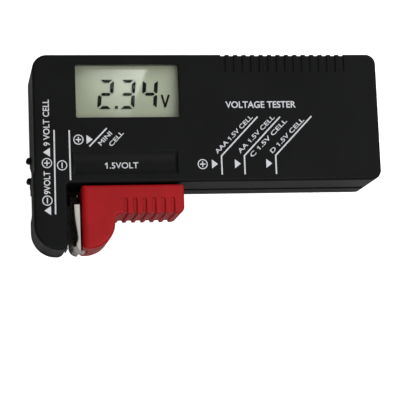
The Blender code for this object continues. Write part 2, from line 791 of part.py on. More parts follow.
def wires(materials):
    """Four leads, each with its free end just under its pad on the board or plate."""
    pad_z = PCB_Z[0] - 0.35
    routes = {
        "wire_negative": ((-6.6, -3.4, 13.0), (-6.8, 0.5, 13.6), (-6.3, 6.0, 13.8), (-5.2, 11.0, 13.4),
                          (-3.2, 15.4, 12.6), (-1.5, 16.9, 12.9), (-1.3, 17.0, pad_z)),
        "wire_positive": ((-4.3, 10.9, 9.2), (-2.0, 12.4, 8.8), (4.0, 12.6, 9.0), (9.0, 13.8, 10.4),
                          (11.8, 15.1, 12.6), (12.0, 15.2, pad_z)),
        "wire_nine_volt_plus": ((-7.3, 9.0, 11.6), (-6.6, 12.0, 11.8), (-6.0, 16.0, 12.0),
                                (-4.2, 20.0, 12.4), (-1.5, 21.4, 13.0), (-1.3, 21.5, pad_z)),
        "wire_nine_volt_minus": ((-7.7, -7.0, 11.0), (-6.9, -6.9, 11.4), (-6.0, -6.0, 13.0),
                                 (-5.8, -4.95, 14.6), (-5.8, -4.0, 15.0)),
    }
    for name, points in routes.items():
        positive = name in ("wire_positive", "wire_nine_volt_plus")
        colour = materials["wire_red"] if positive else materials["wire_black"]
        tube(name, smooth_route(points), 0.45, colour, sides=1)


# ---------------------------------------------------------------- assembly

def main():
    clear_scene()
    black = make_material("black_abs", (0.012, 0.013, 0.013), 0.42)
    red = make_material("red_abs", (0.42, 0.012, 0.014), 0.38)
    nickel = make_material("nickel", (0.72, 0.69, 0.65), 0.22, 1.0)
    steel = make_material("steel", (0.45, 0.45, 0.47), 0.3, 1.0)
    parts = {
        "lens": make_material("clear_lens", (0.9, 0.92, 0.9), 0.05, alpha=0.35),
        "lcd": make_material("lcd_glass", (0.33, 0.37, 0.29), 0.25),
        "rubber": make_material("zebra_rubber", (0.75, 0.6, 0.65), 0.7),
        "epoxy": make_material("epoxy", (0.01, 0.01, 0.01), 0.45),
        "resistor": make_material("resistor_body", (0.03, 0.03, 0.035), 0.5),
        "ceramic": make_material("ceramic_body", (0.36, 0.24, 0.14), 0.5),
        "can": make_material("can_sleeve", (0.03, 0.05, 0.12), 0.35),
        "ferrite": make_material("ferrite", (0.05, 0.05, 0.05), 0.6),
        "wire_red": make_material("wire_red", (0.5, 0.02, 0.02), 0.45),
        "wire_black": make_material("wire_black", (0.02, 0.02, 0.02), 0.45),
    }
    front_case(black)
    rear_case(black)
    slider(red)
    positive_contact(nickel)
    negative_contact(nickel)
    nine_volt_contact("nine_volt_plus_contact", PLUS_SPAN, CASE_LEFT, nickel)
    nine_volt_contact("nine_volt_minus_contact", MINUS_SPAN, ARM_LEFT, nickel)
    return_spring(steel)
    spring_anchor(nickel)
    display_stack(parts)
    pcb(make_material("board", (0.03, 0.16, 0.06), 0.5))
    electronics(parts)
    wires(parts)
    for name, place in CASE_SCREWS.items():
        screw(name, place, seat_height(name), 10.0, 2.0, steel)
    for name, place in PCB_SCREWS.items():
        screw(name, place, PCB_Z[0], 4.6, 1.6, steel)


main()
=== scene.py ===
"""Looks of a hand-held battery tester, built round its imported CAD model.

Sizes are in millimetres in the design frame and become metres in the mesh. Design frame: X runs
along the scale from the face of the fixed contact, Y runs up from the lower wall of the case, and
Z runs from the back, which lies on the table. The front case's box ties it to the CAD frame.
"""
import math

import bmesh
import bpy
from mathutils import Euler, Matrix, Vector


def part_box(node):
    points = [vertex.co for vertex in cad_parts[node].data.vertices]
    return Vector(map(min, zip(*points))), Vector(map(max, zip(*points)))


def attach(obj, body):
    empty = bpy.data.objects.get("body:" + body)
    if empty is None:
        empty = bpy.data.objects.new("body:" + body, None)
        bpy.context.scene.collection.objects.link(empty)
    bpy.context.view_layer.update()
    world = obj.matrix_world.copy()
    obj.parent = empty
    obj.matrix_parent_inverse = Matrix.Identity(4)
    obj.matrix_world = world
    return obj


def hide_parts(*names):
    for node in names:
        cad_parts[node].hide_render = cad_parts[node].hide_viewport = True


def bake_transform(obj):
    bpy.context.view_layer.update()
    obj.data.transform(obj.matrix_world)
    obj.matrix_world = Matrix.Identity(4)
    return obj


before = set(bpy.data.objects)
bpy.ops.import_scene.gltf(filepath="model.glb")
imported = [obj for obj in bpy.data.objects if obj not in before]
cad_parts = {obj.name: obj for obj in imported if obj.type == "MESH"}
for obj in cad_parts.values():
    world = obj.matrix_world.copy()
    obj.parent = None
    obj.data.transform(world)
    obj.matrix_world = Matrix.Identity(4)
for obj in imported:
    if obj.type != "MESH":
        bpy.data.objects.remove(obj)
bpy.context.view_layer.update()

MM = 0.001
CASE = "case_body"
SLIDER = "slider_body"

# Case outline and walls; cutters run 1 to 3 mm past the faces they cut
CASE_LEFT, CASE_RIGHT = -10.45, 93.4
CASE_LOW, CASE_TOP = 0.0, 38.5
THICKNESS = 24.0
PARTING_Z = 9.5
PARTING_GAP = 0.3
WALL = 2.0
EDGE = 0.9
ARM_LEFT, ARM_RIGHT = -10.85, -1.0
ARM_LOW = -19.5
ARM_BACK_Z = 5.8
CORNER_TOP_LEFT = 4.4
CORNER = 3.0
CORNER_ARM_LEFT = 7.4
CORNER_ARM_RIGHT = 2.2
CORNER_NECK = 0.8
STEP_LOW, STEP_HIGH = 2.9, 3.9
PARTING_EDGE = 0.18
SLOT = {"x0": 4.0, "x1": 91.0, "z0": 8.3, "z1": 10.7}
WINDOW = (2.2, 32.9, 19.5, 35.5)
SCOOP = {"x0": 0.7, "x1": 31.9, "y0": 2.3, "y1": 9.6, "depth": 1.0}
SCOOP_COVE = [(0.0, 0.0), (0.06, 0.45), (0.25, 0.78), (0.55, 0.95), (0.95, 1.0)]
LABEL_RECESS = (14, 74, 8, 31)

# Finger grooves along the top edge
GRIP_COUNT = 15
GRIP_PITCH = 2.59
GRIP_FIRST = 46.5
GRIP_WIDTH = 1.6
GRIP_LENGTH = 5.4
GRIP_DEPTH = 0.35
GROOVE_STEPS = 6

# Display stack
LENS_Z = (20.7, 21.7)
LCD_Z = (18.3, 20.4)
LENS_MARGIN = 0.7
GLASS_SIDE, GLASS_BELOW = 0.6, 1.6

# Slider
SLIDER_Z = (6.0, 24.0)
SLIDER_LEFT = 3.2
SLIDER_TOP, SLIDER_LOW = -0.6, -9.4
LOBE_LOW = -19.3
SLIDER_CORNERS = [
    (3.2, -19.3, 1.3), (12.85, -19.3, 7.7), (12.85, -9.4, 1.7),
    (33.4, -9.4, 2.2), (33.4, -0.6, 0.8), (3.2, -0.6, 0.8),
]
SLIDER_EDGE = 1.05
SLIDER_BACK_EDGE = 0.5
SLIDER_LEFT_EDGE = 1.9
RIDGE_COUNT = 6
RIDGE_PITCH = 2.775
RIDGE_FIRST = 16.05
RIDGE_DEPTH = 0.72
FOOT_X, FOOT_Z = (9.5, 28.4), (6.0, 13.0)
SLIDE_GAP = 0.3
TAIL_SLOT_LOW, TAIL_SLOT_TOP = -7.65, -6.35

# Metal parts
SHEET = 0.4
CONTACT_LOW, CONTACT_TOP = -19.5, -0.9
CONTACT_FLAT, CONTACT_APEX = 2.6, 0.1
CONTACT_ROUND = 2.4
CONTACT_SHOULDER = (-5.6, -5.2)
CONTACT_Z = (6.8, 22.6)
CONTACT_STEPS = (24, 16)
CONTACT_CUT, CONTACT_LIP = 0.9, 0.56
# Painted shade inside the sprung contact's upper end: where the black sheet starts, and its depths
# under the plate's face
PAINTED_CONTACT_SHADE_LOW, PAINTED_CONTACT_SHADE_DEPTHS = -6.4, (SHEET + 0.01, SHEET + 0.2)
LEAF_X, LEAF_LOW, LEAF_HIGH = -0.86, -18.4, 14.4
LEAF_Z, LEG_Z = (7.4, 18.5), (10.2, 17.5)
LEAF_SHEET, LEAF_BOW = 0.25, 0.02
LEG_SLOT_Y, LEG_SLOT_TOP = (-4.0, -2.9), 20.4

# Section of the sprung contact: the power of its curve, and what two stretches of height add to it
SECTION_POWER, SECTION_BACK = 2.1, 14.0
SECTION_ABOVE, ABOVE_SPAN = 2.7, (-16.5, -5.0)
SECTION_BELOW, BELOW_SPAN = 1.9, (16.0, 19.0)

SPRING_Y, SPRING_Z = 8.0, 9.5
SPRING_START, SPRING_END = -3.9, 25.6
SPRING_RADIUS, SPRING_WIRE = 1.35, 0.25
SPRING_TURNS, SPRING_POINTS = 44, 12
NINE_VOLT_Z = (7.7, 13.3)
PLUS_SPAN = (4.6, 8.4)
MINUS_SPAN = (-8.6, 1.2)
HOLLOW_DEPTHS, HOLLOW_MARGIN, HOLLOW_SWEEP = (0.5, 0.6), 0.3, 1.12
PEG_RADIUS, PEG_TIP = 0.85, 11.9
PEG_Y, PEG_Z = (9.6, 3.4), (6.4, 8.9)
BOSS_RADIUS, BOSS_ROOT = 2.7, 0.5
PILOT_RADIUS, PILOT_TOP = 1.1, 19.5
SINK_RADIUS, SINK_MOUTH = 2.3, 2.6
PCB_BOSS_RADIUS, PCB_BOSS_LOW = 2.0, 16.5
PCB_PILOT_RADIUS, PCB_PILOT_TOP = 0.9, 21.0
CASE_SCREWS = {
    "case_screw_top_left": (-5.4, 33.2),
    "case_screw_top_right": (88.4, 33.4),
    "case_screw_right": (88.4, 14.4),
    "case_screw_arm": (-6.0, -13.4),
}
PCB_SCREWS = ((0.6, 15.0), (38.4, 15.0), (38.4, 33.6))

# Ink
INK_HIGH = 0.03
INK_DEEP = 0.05
LINE = 0.42
SIGN_RADIUS, SIGN_RING, SIGN_BAR, SIGN_REACH = 1.5, 0.28, 0.34, 0.82
ARROW_HALF = 1.35

ARC_STEP = math.radians(6)
RIM_STEPS = 5
LENS_INDEX = 1.22

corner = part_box("front_case")[1] / MM
SHIFT = Vector((corner.x - CASE_RIGHT, corner.y - CASE_TOP, corner.z - THICKNESS))


# ---------------------------------------------------------------- mesh helpers

def to_world(point):
    return (Vector(point) + SHIFT) * MM


def finish_mesh(name, bm, material=None):
    """Turn a bmesh (bm) in design millimetres into an object, outward facing."""
    for vert in bm.verts:
        vert.co = to_world(vert.co)
    bmesh.ops.recalc_face_normals(bm, faces=bm.faces)
    mesh = bpy.data.meshes.new(name)
    bm.to_mesh(mesh)
    bm.free()
    if material:
        mesh.materials.append(material)
    return add_object(name, mesh)


def add_object(name, data):
    obj = bpy.data.objects.new(name, data)
    bpy.context.scene.collection.objects.link(obj)
    return obj


def quarter(steps):
    """Angles from nothing to a quarter turn."""
    return [math.pi / 2 * k / steps for k in range(steps + 1)]


def loft(bm, rings):
    """Skin of quads through rings of points, with a flat cap at each end."""
    rows = [[bm.verts.new(point) for point in ring] for ring in rings]
    count = len(rows[0])
    bm.faces.new(rows[0])
    bm.faces.new(rows[-1][::-1])
    for low, high in zip(rows, rows[1:]):
        for i in range(count):
            j = (i + 1) % count
            bm.faces.new((low[i], high[i], high[j], low[j]))


def prism(bm, outline, low, high, axis="z"):
    """Extrude a closed outline. The outline is (x, y) for z, (y, z) for x and (x, z) for y."""
    place = {
        "z": lambda u, v, w: (u, v, w),
        "x": lambda u, v, w: (w, u, v),
        "y": lambda u, v, w: (u, w, v),
    }[axis]
    loft(bm, [[place(u, v, w) for u, v in outline] for w in (low, high)])


def box(bm, low, high):
    outline = [(low[0], low[1]), (high[0], low[1]), (high[0], high[1]), (low[0], high[1])]
    prism(bm, outline, low[2], high[2])


def rectangle(x0, x1, y0, y1, radius):
    return [(x0, y0, radius), (x1, y0, radius), (x1, y1, radius), (x0, y1, radius)]


def circle(centre, radius, steps=32):
    return [
        (centre[0] + radius * math.cos(i * math.tau / steps),
         centre[1] + radius * math.sin(i * math.tau / steps))
        for i in range(steps)
    ]


def rounded(corners):
    """Closed outline through (x, y, radius) corners, each rounded with an arc."""
    outline = []
    count = len(corners)
    for i, (x, y, radius) in enumerate(corners):
        here = Vector((x, y))
        before = (Vector(corners[i - 1][:2]) - here).normalized()
        after = (Vector(corners[(i + 1) % count][:2]) - here).normalized()
        if radius <= 0:
            outline.append((x, y))
            continue
        half = before.angle(after) / 2
        reach = radius / math.tan(half)
        centre = here + (before + after).normalized() * (radius / math.sin(half))
        start = here + before * reach - centre
        end = here + after * reach - centre
        turn = start.angle_signed(end)
        steps = max(2, int(abs(turn) / ARC_STEP + 0.01) + 1)
        for k in range(steps + 1):
            outline.append(tuple(centre + Matrix.Rotation(-turn * k / steps, 2) @ start))
    return outline


def inset(corners, amount):
    """The same corners moved in, with each arc still about its own centre."""
    count = len(corners)
    area = sum(a[0] * b[1] - b[0] * a[1] for a, b in zip(corners, corners[1:] + corners[:1]))
    side = 1 if area > 0 else -1
    moved = []
    for i, (x, y, radius) in enumerate(corners):
        here = Vector((x, y))
        back = (here - Vector(corners[i - 1][:2])).normalized()
        ahead = (Vector(corners[(i + 1) % count][:2]) - here).normalized()
        inward = Vector((-back.y, back.x)) * side
        mitre = (inward + Vector((-ahead.y, ahead.x)) * side).normalized()
        shift = mitre * (amount / mitre.dot(inward))
        convex = (back.x * ahead.y - back.y * ahead.x) * side > 0
        arc = radius - amount if convex else radius + amount
        moved.append((x + shift.x, y + shift.y, max(0.05, arc) if radius > 0 else 0))
    return moved


def block(bm, corners, low, high, low_rim, high_rim):
    """Rounded plate from low to high with quarter-round rims."""
    turns = quarter(RIM_STEPS)
    sections = [(low + low_rim * (1 - math.cos(a)), low_rim * (1 - math.sin(a))) for a in turns]
    sections += [(high - high_rim * (1 - math.cos(a)), high_rim * (1 - math.sin(a)))
                 for a in reversed(turns)]
    stack(bm, corners, sections)


def stack(bm, corners, sections):
    """Loft through one rounded outline, moved in by its own amount at each height."""
    loft(bm, [[(x, y, z) for x, y in rounded(inset(corners, amount))]
              for z, amount in sections])


def boolean(obj, build, operation="DIFFERENCE"):
    """Cut or add the solid that build makes, and keep only the result."""
    bm = bmesh.new()
    build(bm)
    tool = finish_mesh("tool", bm)
    modifier = obj.modifiers.new("shape", "BOOLEAN")
    modifier.operation = operation
    modifier.object = tool
    modifier.solver = "EXACT"
    graph = bpy.context.evaluated_depsgraph_get()
    made = bpy.data.meshes.new_from_object(obj.evaluated_get(graph))
    obj.modifiers.clear()
    spent = obj.data
    obj.data = made
    bpy.data.meshes.remove(spent)
    bpy.data.objects.remove(tool, do_unlink=True)


def smooth(obj, angle=32):
    """Smooth shading that keeps the large flat faces flat."""
    for face in obj.data.polygons:
        face.use_smooth = True
    obj.data.set_sharp_from_angle(angle=math.radians(angle))
    weigh = obj.modifiers.new("weighted_normals", "WEIGHTED_NORMAL")
    weigh.keep_sharp = True
    return obj


def strip_outline(route, thickness):
    """Outline of a band of even width that follows a route of points."""
    points = [Vector(point) for point in route]
    left, right = [], []
    for i, point in enumerate(points):
        ahead = points[min(i + 1, len(points) - 1)] - point
        behind = point - points[max(i - 1, 0)]
        ahead = behind if ahead.length == 0 else ahead
        behind = ahead if behind.length == 0 else behind
        tangent = (ahead.normalized() + behind.normalized()).normalized()
        normal = Vector((-tangent.y, tangent.x))
        straight = Vector((-ahead.y, ahead.x)).normalized()
        reach = thickness / 2 / max(0.3, normal.dot(straight))
        left.append(tuple(point + normal * reach))
        right.append(tuple(point - normal * reach))
    return left + right[::-1]


def wire_tube(bm, route, radius, sides=8):
    """Round wire along a list of points, with its section carried along without twist."""
    points = [Vector(p) for p in route]
    tangents = [(points[min(i + 1, len(points) - 1)] - points[max(i - 1, 0)]).normalized()
                for i in range(len(points))]
    normal = tangents[0].orthogonal().normalized()
    rings = []
    for point, tangent in zip(points, tangents):
        normal = (normal - tangent * normal.dot(tangent)).normalized()
        across = tangent.cross(normal)
        rings.append([point + (normal * math.cos(a) + across * math.sin(a)) * radius
                      for a in [i * math.tau / sides for i in range(sides)]])
    loft(bm, rings)


# ---------------------------------------------------------------- materials

def new_material(name):
    material = bpy.data.materials.new(name)
    material.use_nodes = True
    return material, material.node_tree, material.node_tree.nodes["Principled BSDF"]


def feed(tree, node, inputs):
    """Give each input its value, or link it to the socket that feeds it."""
    for key, value in inputs.items():
        if isinstance(value, bpy.types.NodeSocket):
            tree.links.new(value, node.inputs[key])
        else:
            node.inputs[key].default_value = value


def add_node(tree, kind, inputs, output, **settings):
    """New shader node with its inputs fed, as the socket that its result comes out of."""
    node = tree.nodes.new("ShaderNode" + kind)
    for key, value in settings.items():
        setattr(node, key, value)
    feed(tree, node, inputs)
    return node.outputs[output]


def noise(tree, scale, detail=3.0, stretch=(1, 1, 1)):
    """Noise over the piece's own coordinates; scale is in features per metre."""
    place = add_node(tree, "TexCoord", {}, "Object")
    mapped = add_node(tree, "Mapping", {"Vector": place, "Scale": stretch}, "Vector")
    return add_node(tree, "TexNoise", {"Vector": mapped, "Scale": scale, "Detail": detail}, "Fac")


def spread(tree, value, low, high, start=0.3, end=0.7):
    """Map a 0..1 value to a range."""
    return add_node(tree, "MapRange", {"Value": value, "From Min": start, "From Max": end,
                                       "To Min": low, "To Max": high}, "Result")


def mix_colour(tree, factor, first, second):
    """Blend of two colours, each a triple or a socket."""
    sides = {key: side if isinstance(side, bpy.types.NodeSocket) else (*side, 1.0)
             for key, side in (("A", first), ("B", second))}
    return add_node(tree, "Mix", {"Factor": factor, **sides}, "Result", data_type="RGBA")


def add_coat(material):
    """Glass over the display, which carries the studio's glare."""
    shader = material.node_tree.nodes["Principled BSDF"]
    for name, value in (("Weight", 1.0), ("Roughness", 0.03), ("IOR", 1.6)):
        shader.inputs["Coat " + name].default_value = value


def surface(name, first, second, rough, patch=60.0, grain=2600.0, relief=0.02, strength=0.3,
            metallic=0.0, stretch=(1, 1, 1), specular=0.5):
    """Two-tone surface with uneven gloss and a fine relief."""
    material, tree, shader = new_material(name)
    broad = spread(tree, noise(tree, patch, 4.0, stretch), 0.0, 1.0)
    fine = noise(tree, grain, 2.0, stretch)
    feed(tree, shader, {
        "Base Color": mix_colour(tree, broad, first, second),
        "Roughness": spread(tree, fine, *rough),
        "Metallic": metallic,
        "Specular IOR Level": specular,
        "Normal": add_node(tree, "Bump", {"Height": fine, "Distance": relief * MM,
                                          "Strength": strength}, "Normal"),
    })
    return material


def lens_material():
    """Clear window: light passes straight through, and it reflects less than acrylic would."""
    material, tree, shader = new_material("clear_acrylic")
    tree.nodes.remove(shader)
    tint = spread(tree, noise(tree, 90.0), 0.0, 1.0)
    clear = add_node(tree, "BsdfTransparent", {
        "Color": mix_colour(tree, tint, (0.955, 0.965, 0.95), (0.975, 0.98, 0.97))}, "BSDF")
    gloss = add_node(tree, "BsdfGlossy", {
        "Color": (1, 1, 1, 1), "Roughness": spread(tree, noise(tree, 300.0), 0.01, 0.03)}, "BSDF")
    inner = add_node(tree, "NewGeometry", {}, "Backfacing")
    outer = add_node(tree, "Math", {0: inner, 1: -1.0, 2: 1.0}, "Value", operation="MULTIPLY_ADD")
    mirror = add_node(tree, "Fresnel", {"IOR": LENS_INDEX}, "Fac")
    share = add_node(tree, "Math", {0: mirror, 1: outer}, "Value", operation="MULTIPLY")
    feed(tree, tree.nodes["Material Output"], {
        "Surface": add_node(tree, "MixShader", {0: share, 1: clear, 2: gloss}, "Shader")})
    return material


BLACK = surface("black_abs", (0.0034, 0.0038, 0.0036), (0.0050, 0.0056, 0.0053), (0.36, 0.48),
                patch=70.0, grain=2300.0, relief=0.012, strength=0.25, specular=0.09)
RED = surface("red_abs", (0.31, 0.0060, 0.008), (0.37, 0.0078, 0.0102), (0.34, 0.46),
              patch=120.0, grain=2600.0, relief=0.012, strength=0.25, specular=0.14)
NICKEL = surface("nickel_plate", (0.70, 0.67, 0.62), (0.80, 0.77, 0.72), (0.14, 0.3),
                 patch=300.0, grain=1700.0, relief=0.004, strength=0.3, metallic=1.0,
                 stretch=(1, 0.12, 1))
SPRING_STEEL = surface("spring_wire", (0.42, 0.42, 0.43), (0.55, 0.55, 0.56), (0.2, 0.34),
                       patch=500.0, grain=3000.0, relief=0.003, metallic=1.0)
SCREW_STEEL = surface("screw_zinc", (0.50, 0.50, 0.51), (0.62, 0.61, 0.58), (0.22, 0.4),
                      patch=700.0, grain=3500.0, relief=0.005, metallic=1.0)
INK = surface("white_ink", (0.56, 0.57, 0.60), (0.66, 0.67, 0.70), (0.42, 0.6),
              patch=900.0, grain=4000.0, relief=0.004)
LCD = surface("display_reflector", (0.395, 0.425, 0.315), (0.43, 0.46, 0.345), (0.3, 0.42),
              patch=2500.0, grain=5000.0, relief=0.003, strength=0.2)
add_coat(LCD)
SEGMENT = surface("display_segment", (0.002, 0.003, 0.002), (0.004, 0.005, 0.004), (0.6, 0.7),
                  patch=1500.0, grain=4000.0, relief=0.001, specular=0.05)
# Painted shadow of the display figures: a slightly darker tone of the display's colour
SEGMENT_SHADOW = surface("display_shadow", (0.33, 0.36, 0.265), (0.36, 0.39, 0.29),
                         (0.3, 0.42), patch=2500.0, grain=5000.0, relief=0.002)
LENS = lens_material()
INNER = {
    "zebra": surface("zebra_rubber", (0.62, 0.45, 0.5), (0.75, 0.6, 0.64), (0.6, 0.8),
                     patch=900.0, stretch=(4, 1, 1)),
    "board": surface("board_resist", (0.012, 0.11, 0.035), (0.02, 0.16, 0.06), (0.3, 0.5),
                     patch=350.0, grain=900.0),
    # Black epoxy of the chip and transistor, also used for the painted shade inside the sprung
    # contact
    "epoxy": surface("black_epoxy", (0.006, 0.006, 0.007), (0.012, 0.012, 0.012), (0.3, 0.5),
                     patch=400.0),
    "resistor": surface("resistor_body", (0.02, 0.02, 0.024), (0.045, 0.045, 0.05),
                        (0.4, 0.6), patch=1500.0),
    "ceramic": surface("ceramic_body", (0.32, 0.2, 0.11), (0.42, 0.28, 0.17), (0.4, 0.6),
                       patch=1500.0),
    "can": surface("can_sleeve", (0.012, 0.02, 0.07), (0.03, 0.045, 0.12), (0.25, 0.45),
                   patch=500.0),
    "ferrite": surface("ferrite_core", (0.03, 0.03, 0.032), (0.07, 0.068, 0.066),
                       (0.5, 0.75), patch=1200.0),
    "wire_red": surface("red_sleeve", (0.4, 0.012, 0.012), (0.5, 0.02, 0.02), (0.35, 0.5),
                        patch=400.0),
    "wire_black": surface("black_sleeve", (0.01, 0.01, 0.01), (0.022, 0.022, 0.022),
                          (0.35, 0.5), patch=400.0),
}


def settle(obj, body, material_slot, *nodes):
    """Let a piece ride on its body and stand for its CAD nodes; material_slot is not used."""
    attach(obj, body)
    if nodes:
        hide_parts(*nodes)
    return obj


# ---------------------------------------------------------------- case

def case_corners():
    return [
        (ARM_LEFT, ARM_LOW, CORNER_ARM_LEFT),
        (ARM_RIGHT, ARM_LOW, CORNER_ARM_RIGHT),
        (ARM_RIGHT, CASE_LOW, CORNER_NECK),
        (CASE_RIGHT, CASE_LOW, CORNER),
        (CASE_RIGHT, CASE_TOP, CORNER),
        (CASE_LEFT, CASE_TOP, CORNER_TOP_LEFT),
        (CASE_LEFT, STEP_HIGH, 0),
        (ARM_LEFT, STEP_LOW, 0),
    ]


def scoop_depth(y):
    """Depth of the finger hollow under the front face at a height on it."""
    width = SCOOP["y1"] - SCOOP["y0"]
    bend = width ** 2 / (8 * SCOOP["depth"]) + SCOOP["depth"] / 2
    off = y - (SCOOP["y0"] + SCOOP["y1"]) / 2
    return SCOOP["depth"] - bend + math.sqrt(bend ** 2 - off ** 2)


def scoop_tool(bm):
    """Finger hollow whose floor runs up in a small cove at both ends."""
    steps, skin = 24, 0.02
    heights = [SCOOP["y0"] + (SCOOP["y1"] - SCOOP["y0"]) * k / steps for k in range(steps + 1)]
    places = [(SCOOP["x0"] + dx, share) for dx, share in SCOOP_COVE]
    places += [(SCOOP["x1"] - dx, share) for dx, share in reversed(SCOOP_COVE)]
    rings = []
    for x, share in places:
        floor = [(x, y, THICKNESS + skin - (scoop_depth(y) + skin) * share) for y in heights]
        rings.append(floor + [(x, heights[-1], THICKNESS + 1), (x, heights[0], THICKNESS + 1)])
    loft(bm, rings)


def groove_share(k, square, fullness):
    """Share of a groove's depth at step k across it, counted from its middle."""
    return (1 - abs(k / GROOVE_STEPS) ** square) ** fullness


def grip_tool(bm):
    """Grooves of even depth that start on the front and run round the rim and down the top."""
    end, foot = CASE_TOP - GRIP_LENGTH, PARTING_Z - 3

    def path(depth):
        """From the groove's end on the front, round the rim, to the foot of the top wall."""
        rim = [(CASE_TOP - EDGE + (EDGE - depth) * math.sin(a),
                THICKNESS - EDGE + (EDGE - depth) * math.cos(a)) for a in quarter(5)]
        return ([(end, THICKNESS + 0.05), (end + 0.12, THICKNESS - depth)] + rim
                + [(CASE_TOP - depth, foot)])

    skin, floor = path(-0.06), path(GRIP_DEPTH)
    for i in range(GRIP_COUNT):
        rings = []
        for k in range(-GROOVE_STEPS, GROOVE_STEPS + 1):
            share = groove_share(k, 5, 0.45)
            x = GRIP_FIRST + i * GRIP_PITCH + GRIP_WIDTH / 2 * k / GROOVE_STEPS
            line = [(x, a[0] + (b[0] - a[0]) * share, a[1] + (b[1] - a[1]) * share)
                    for a, b in zip(skin, floor)]
            rings.append(line + [(x, CASE_TOP + 1, foot), (x, CASE_TOP + 1, THICKNESS + 1),
                                 (x, end, THICKNESS + 1)])
        loft(bm, rings)


def left_wall_hollows(bm):
    """Shallow round hollows in the left wall, one for each side contact."""
    steps = 10
    for (low, high), depth in zip((PLUS_SPAN, MINUS_SPAN), HOLLOW_DEPTHS):
        chord = high - low + 2 * HOLLOW_MARGIN
        bend = chord ** 2 / (8 * depth) + depth / 2
        wall_x = CASE_LEFT if low > 0 else ARM_LEFT
        sweep = math.asin(chord / 2 / bend) * HOLLOW_SWEEP
        ring = [(wall_x + depth - bend + bend * math.cos(sweep * k / steps),
                 (low + high) / 2 + bend * math.sin(sweep * k / steps))
                for k in range(-steps, steps + 1)]
        prism(bm, ring + [(wall_x - 2, high + 0.9), (wall_x - 2, low - 0.9)], -1, 13.0)


def left_wall_windows(bm):
    """Openings in those hollows, which the side contacts stand in."""
    for low, high in (PLUS_SPAN, MINUS_SPAN):
        box(bm, (ARM_LEFT - 1, low + 0.5, NINE_VOLT_Z[0]),
            (CASE_LEFT + WALL + 0.5, high - 0.5, NINE_VOLT_Z[1]))


def slot_tool(bm):
    """Slot with lead-in lips on the outside of the lower wall."""
    lip = 0.3
    rings = []
    for y, grow in ((CASE_LOW - 1, lip), (CASE_LOW, lip), (CASE_LOW + lip, 0.0),
                    (CASE_LOW + WALL + 1, 0.0)):
        rings.append([
            (SLOT["x0"] - grow, y, SLOT["z0"] - grow), (SLOT["x1"] + grow, y, SLOT["z0"] - grow),
            (SLOT["x1"] + grow, y, SLOT["z1"] + grow), (SLOT["x0"] - grow, y, SLOT["z1"] + grow)])
    loft(bm, rings)


def front_shell():
    low = PARTING_Z + PARTING_GAP / 2
    inner = THICKNESS - WALL
    bm = bmesh.new()
    block(bm, case_corners(), low, THICKNESS, PARTING_EDGE, EDGE)
    obj = finish_mesh("case_front_shell", bm, BLACK)

    def hollow(bm):
        prism(bm, rounded(inset(case_corners(), WALL)), 0, inner)

    def bosses(bm):
        for place in CASE_SCREWS.values():
            prism(bm, circle(place, BOSS_RADIUS), low + 0.1, inner + BOSS_ROOT)
        for place in PCB_SCREWS:
            prism(bm, circle(place, PCB_BOSS_RADIUS), PCB_BOSS_LOW, inner + BOSS_ROOT)

    def holes(bm):
        for place in CASE_SCREWS.values():
            prism(bm, circle(place, PILOT_RADIUS, 16), 0, PILOT_TOP)
        for place in PCB_SCREWS:
            prism(bm, circle(place, PCB_PILOT_RADIUS, 16), 0, PCB_PILOT_TOP)
        box(bm, (ARM_RIGHT - WALL - 1, LEG_SLOT_Y[0], low - 1),
            (ARM_RIGHT + 1, LEG_SLOT_Y[1], LEG_SLOT_TOP))

    def window(bm):
        """Opening for the display, with a chamfer round its mouth."""
        stack(bm, rectangle(*WINDOW, 0.5), (
            (inner - 1, 0), (THICKNESS - 0.22, 0), (THICKNESS, -0.2), (THICKNESS + 1, -0.2)))

    boolean(obj, hollow)
    boolean(obj, bosses, "UNION")
    for tool in (holes, window, scoop_tool, grip_tool, slot_tool, left_wall_hollows,
                 left_wall_windows):
        boolean(obj, tool)
    settle(smooth(obj), CASE, "black_case", "front_case")


def seat_height(name):
    """Height of the face that a case screw's head bears on."""
    return ARM_BACK_Z + 1.9 if name == "case_screw_arm" else 3.6


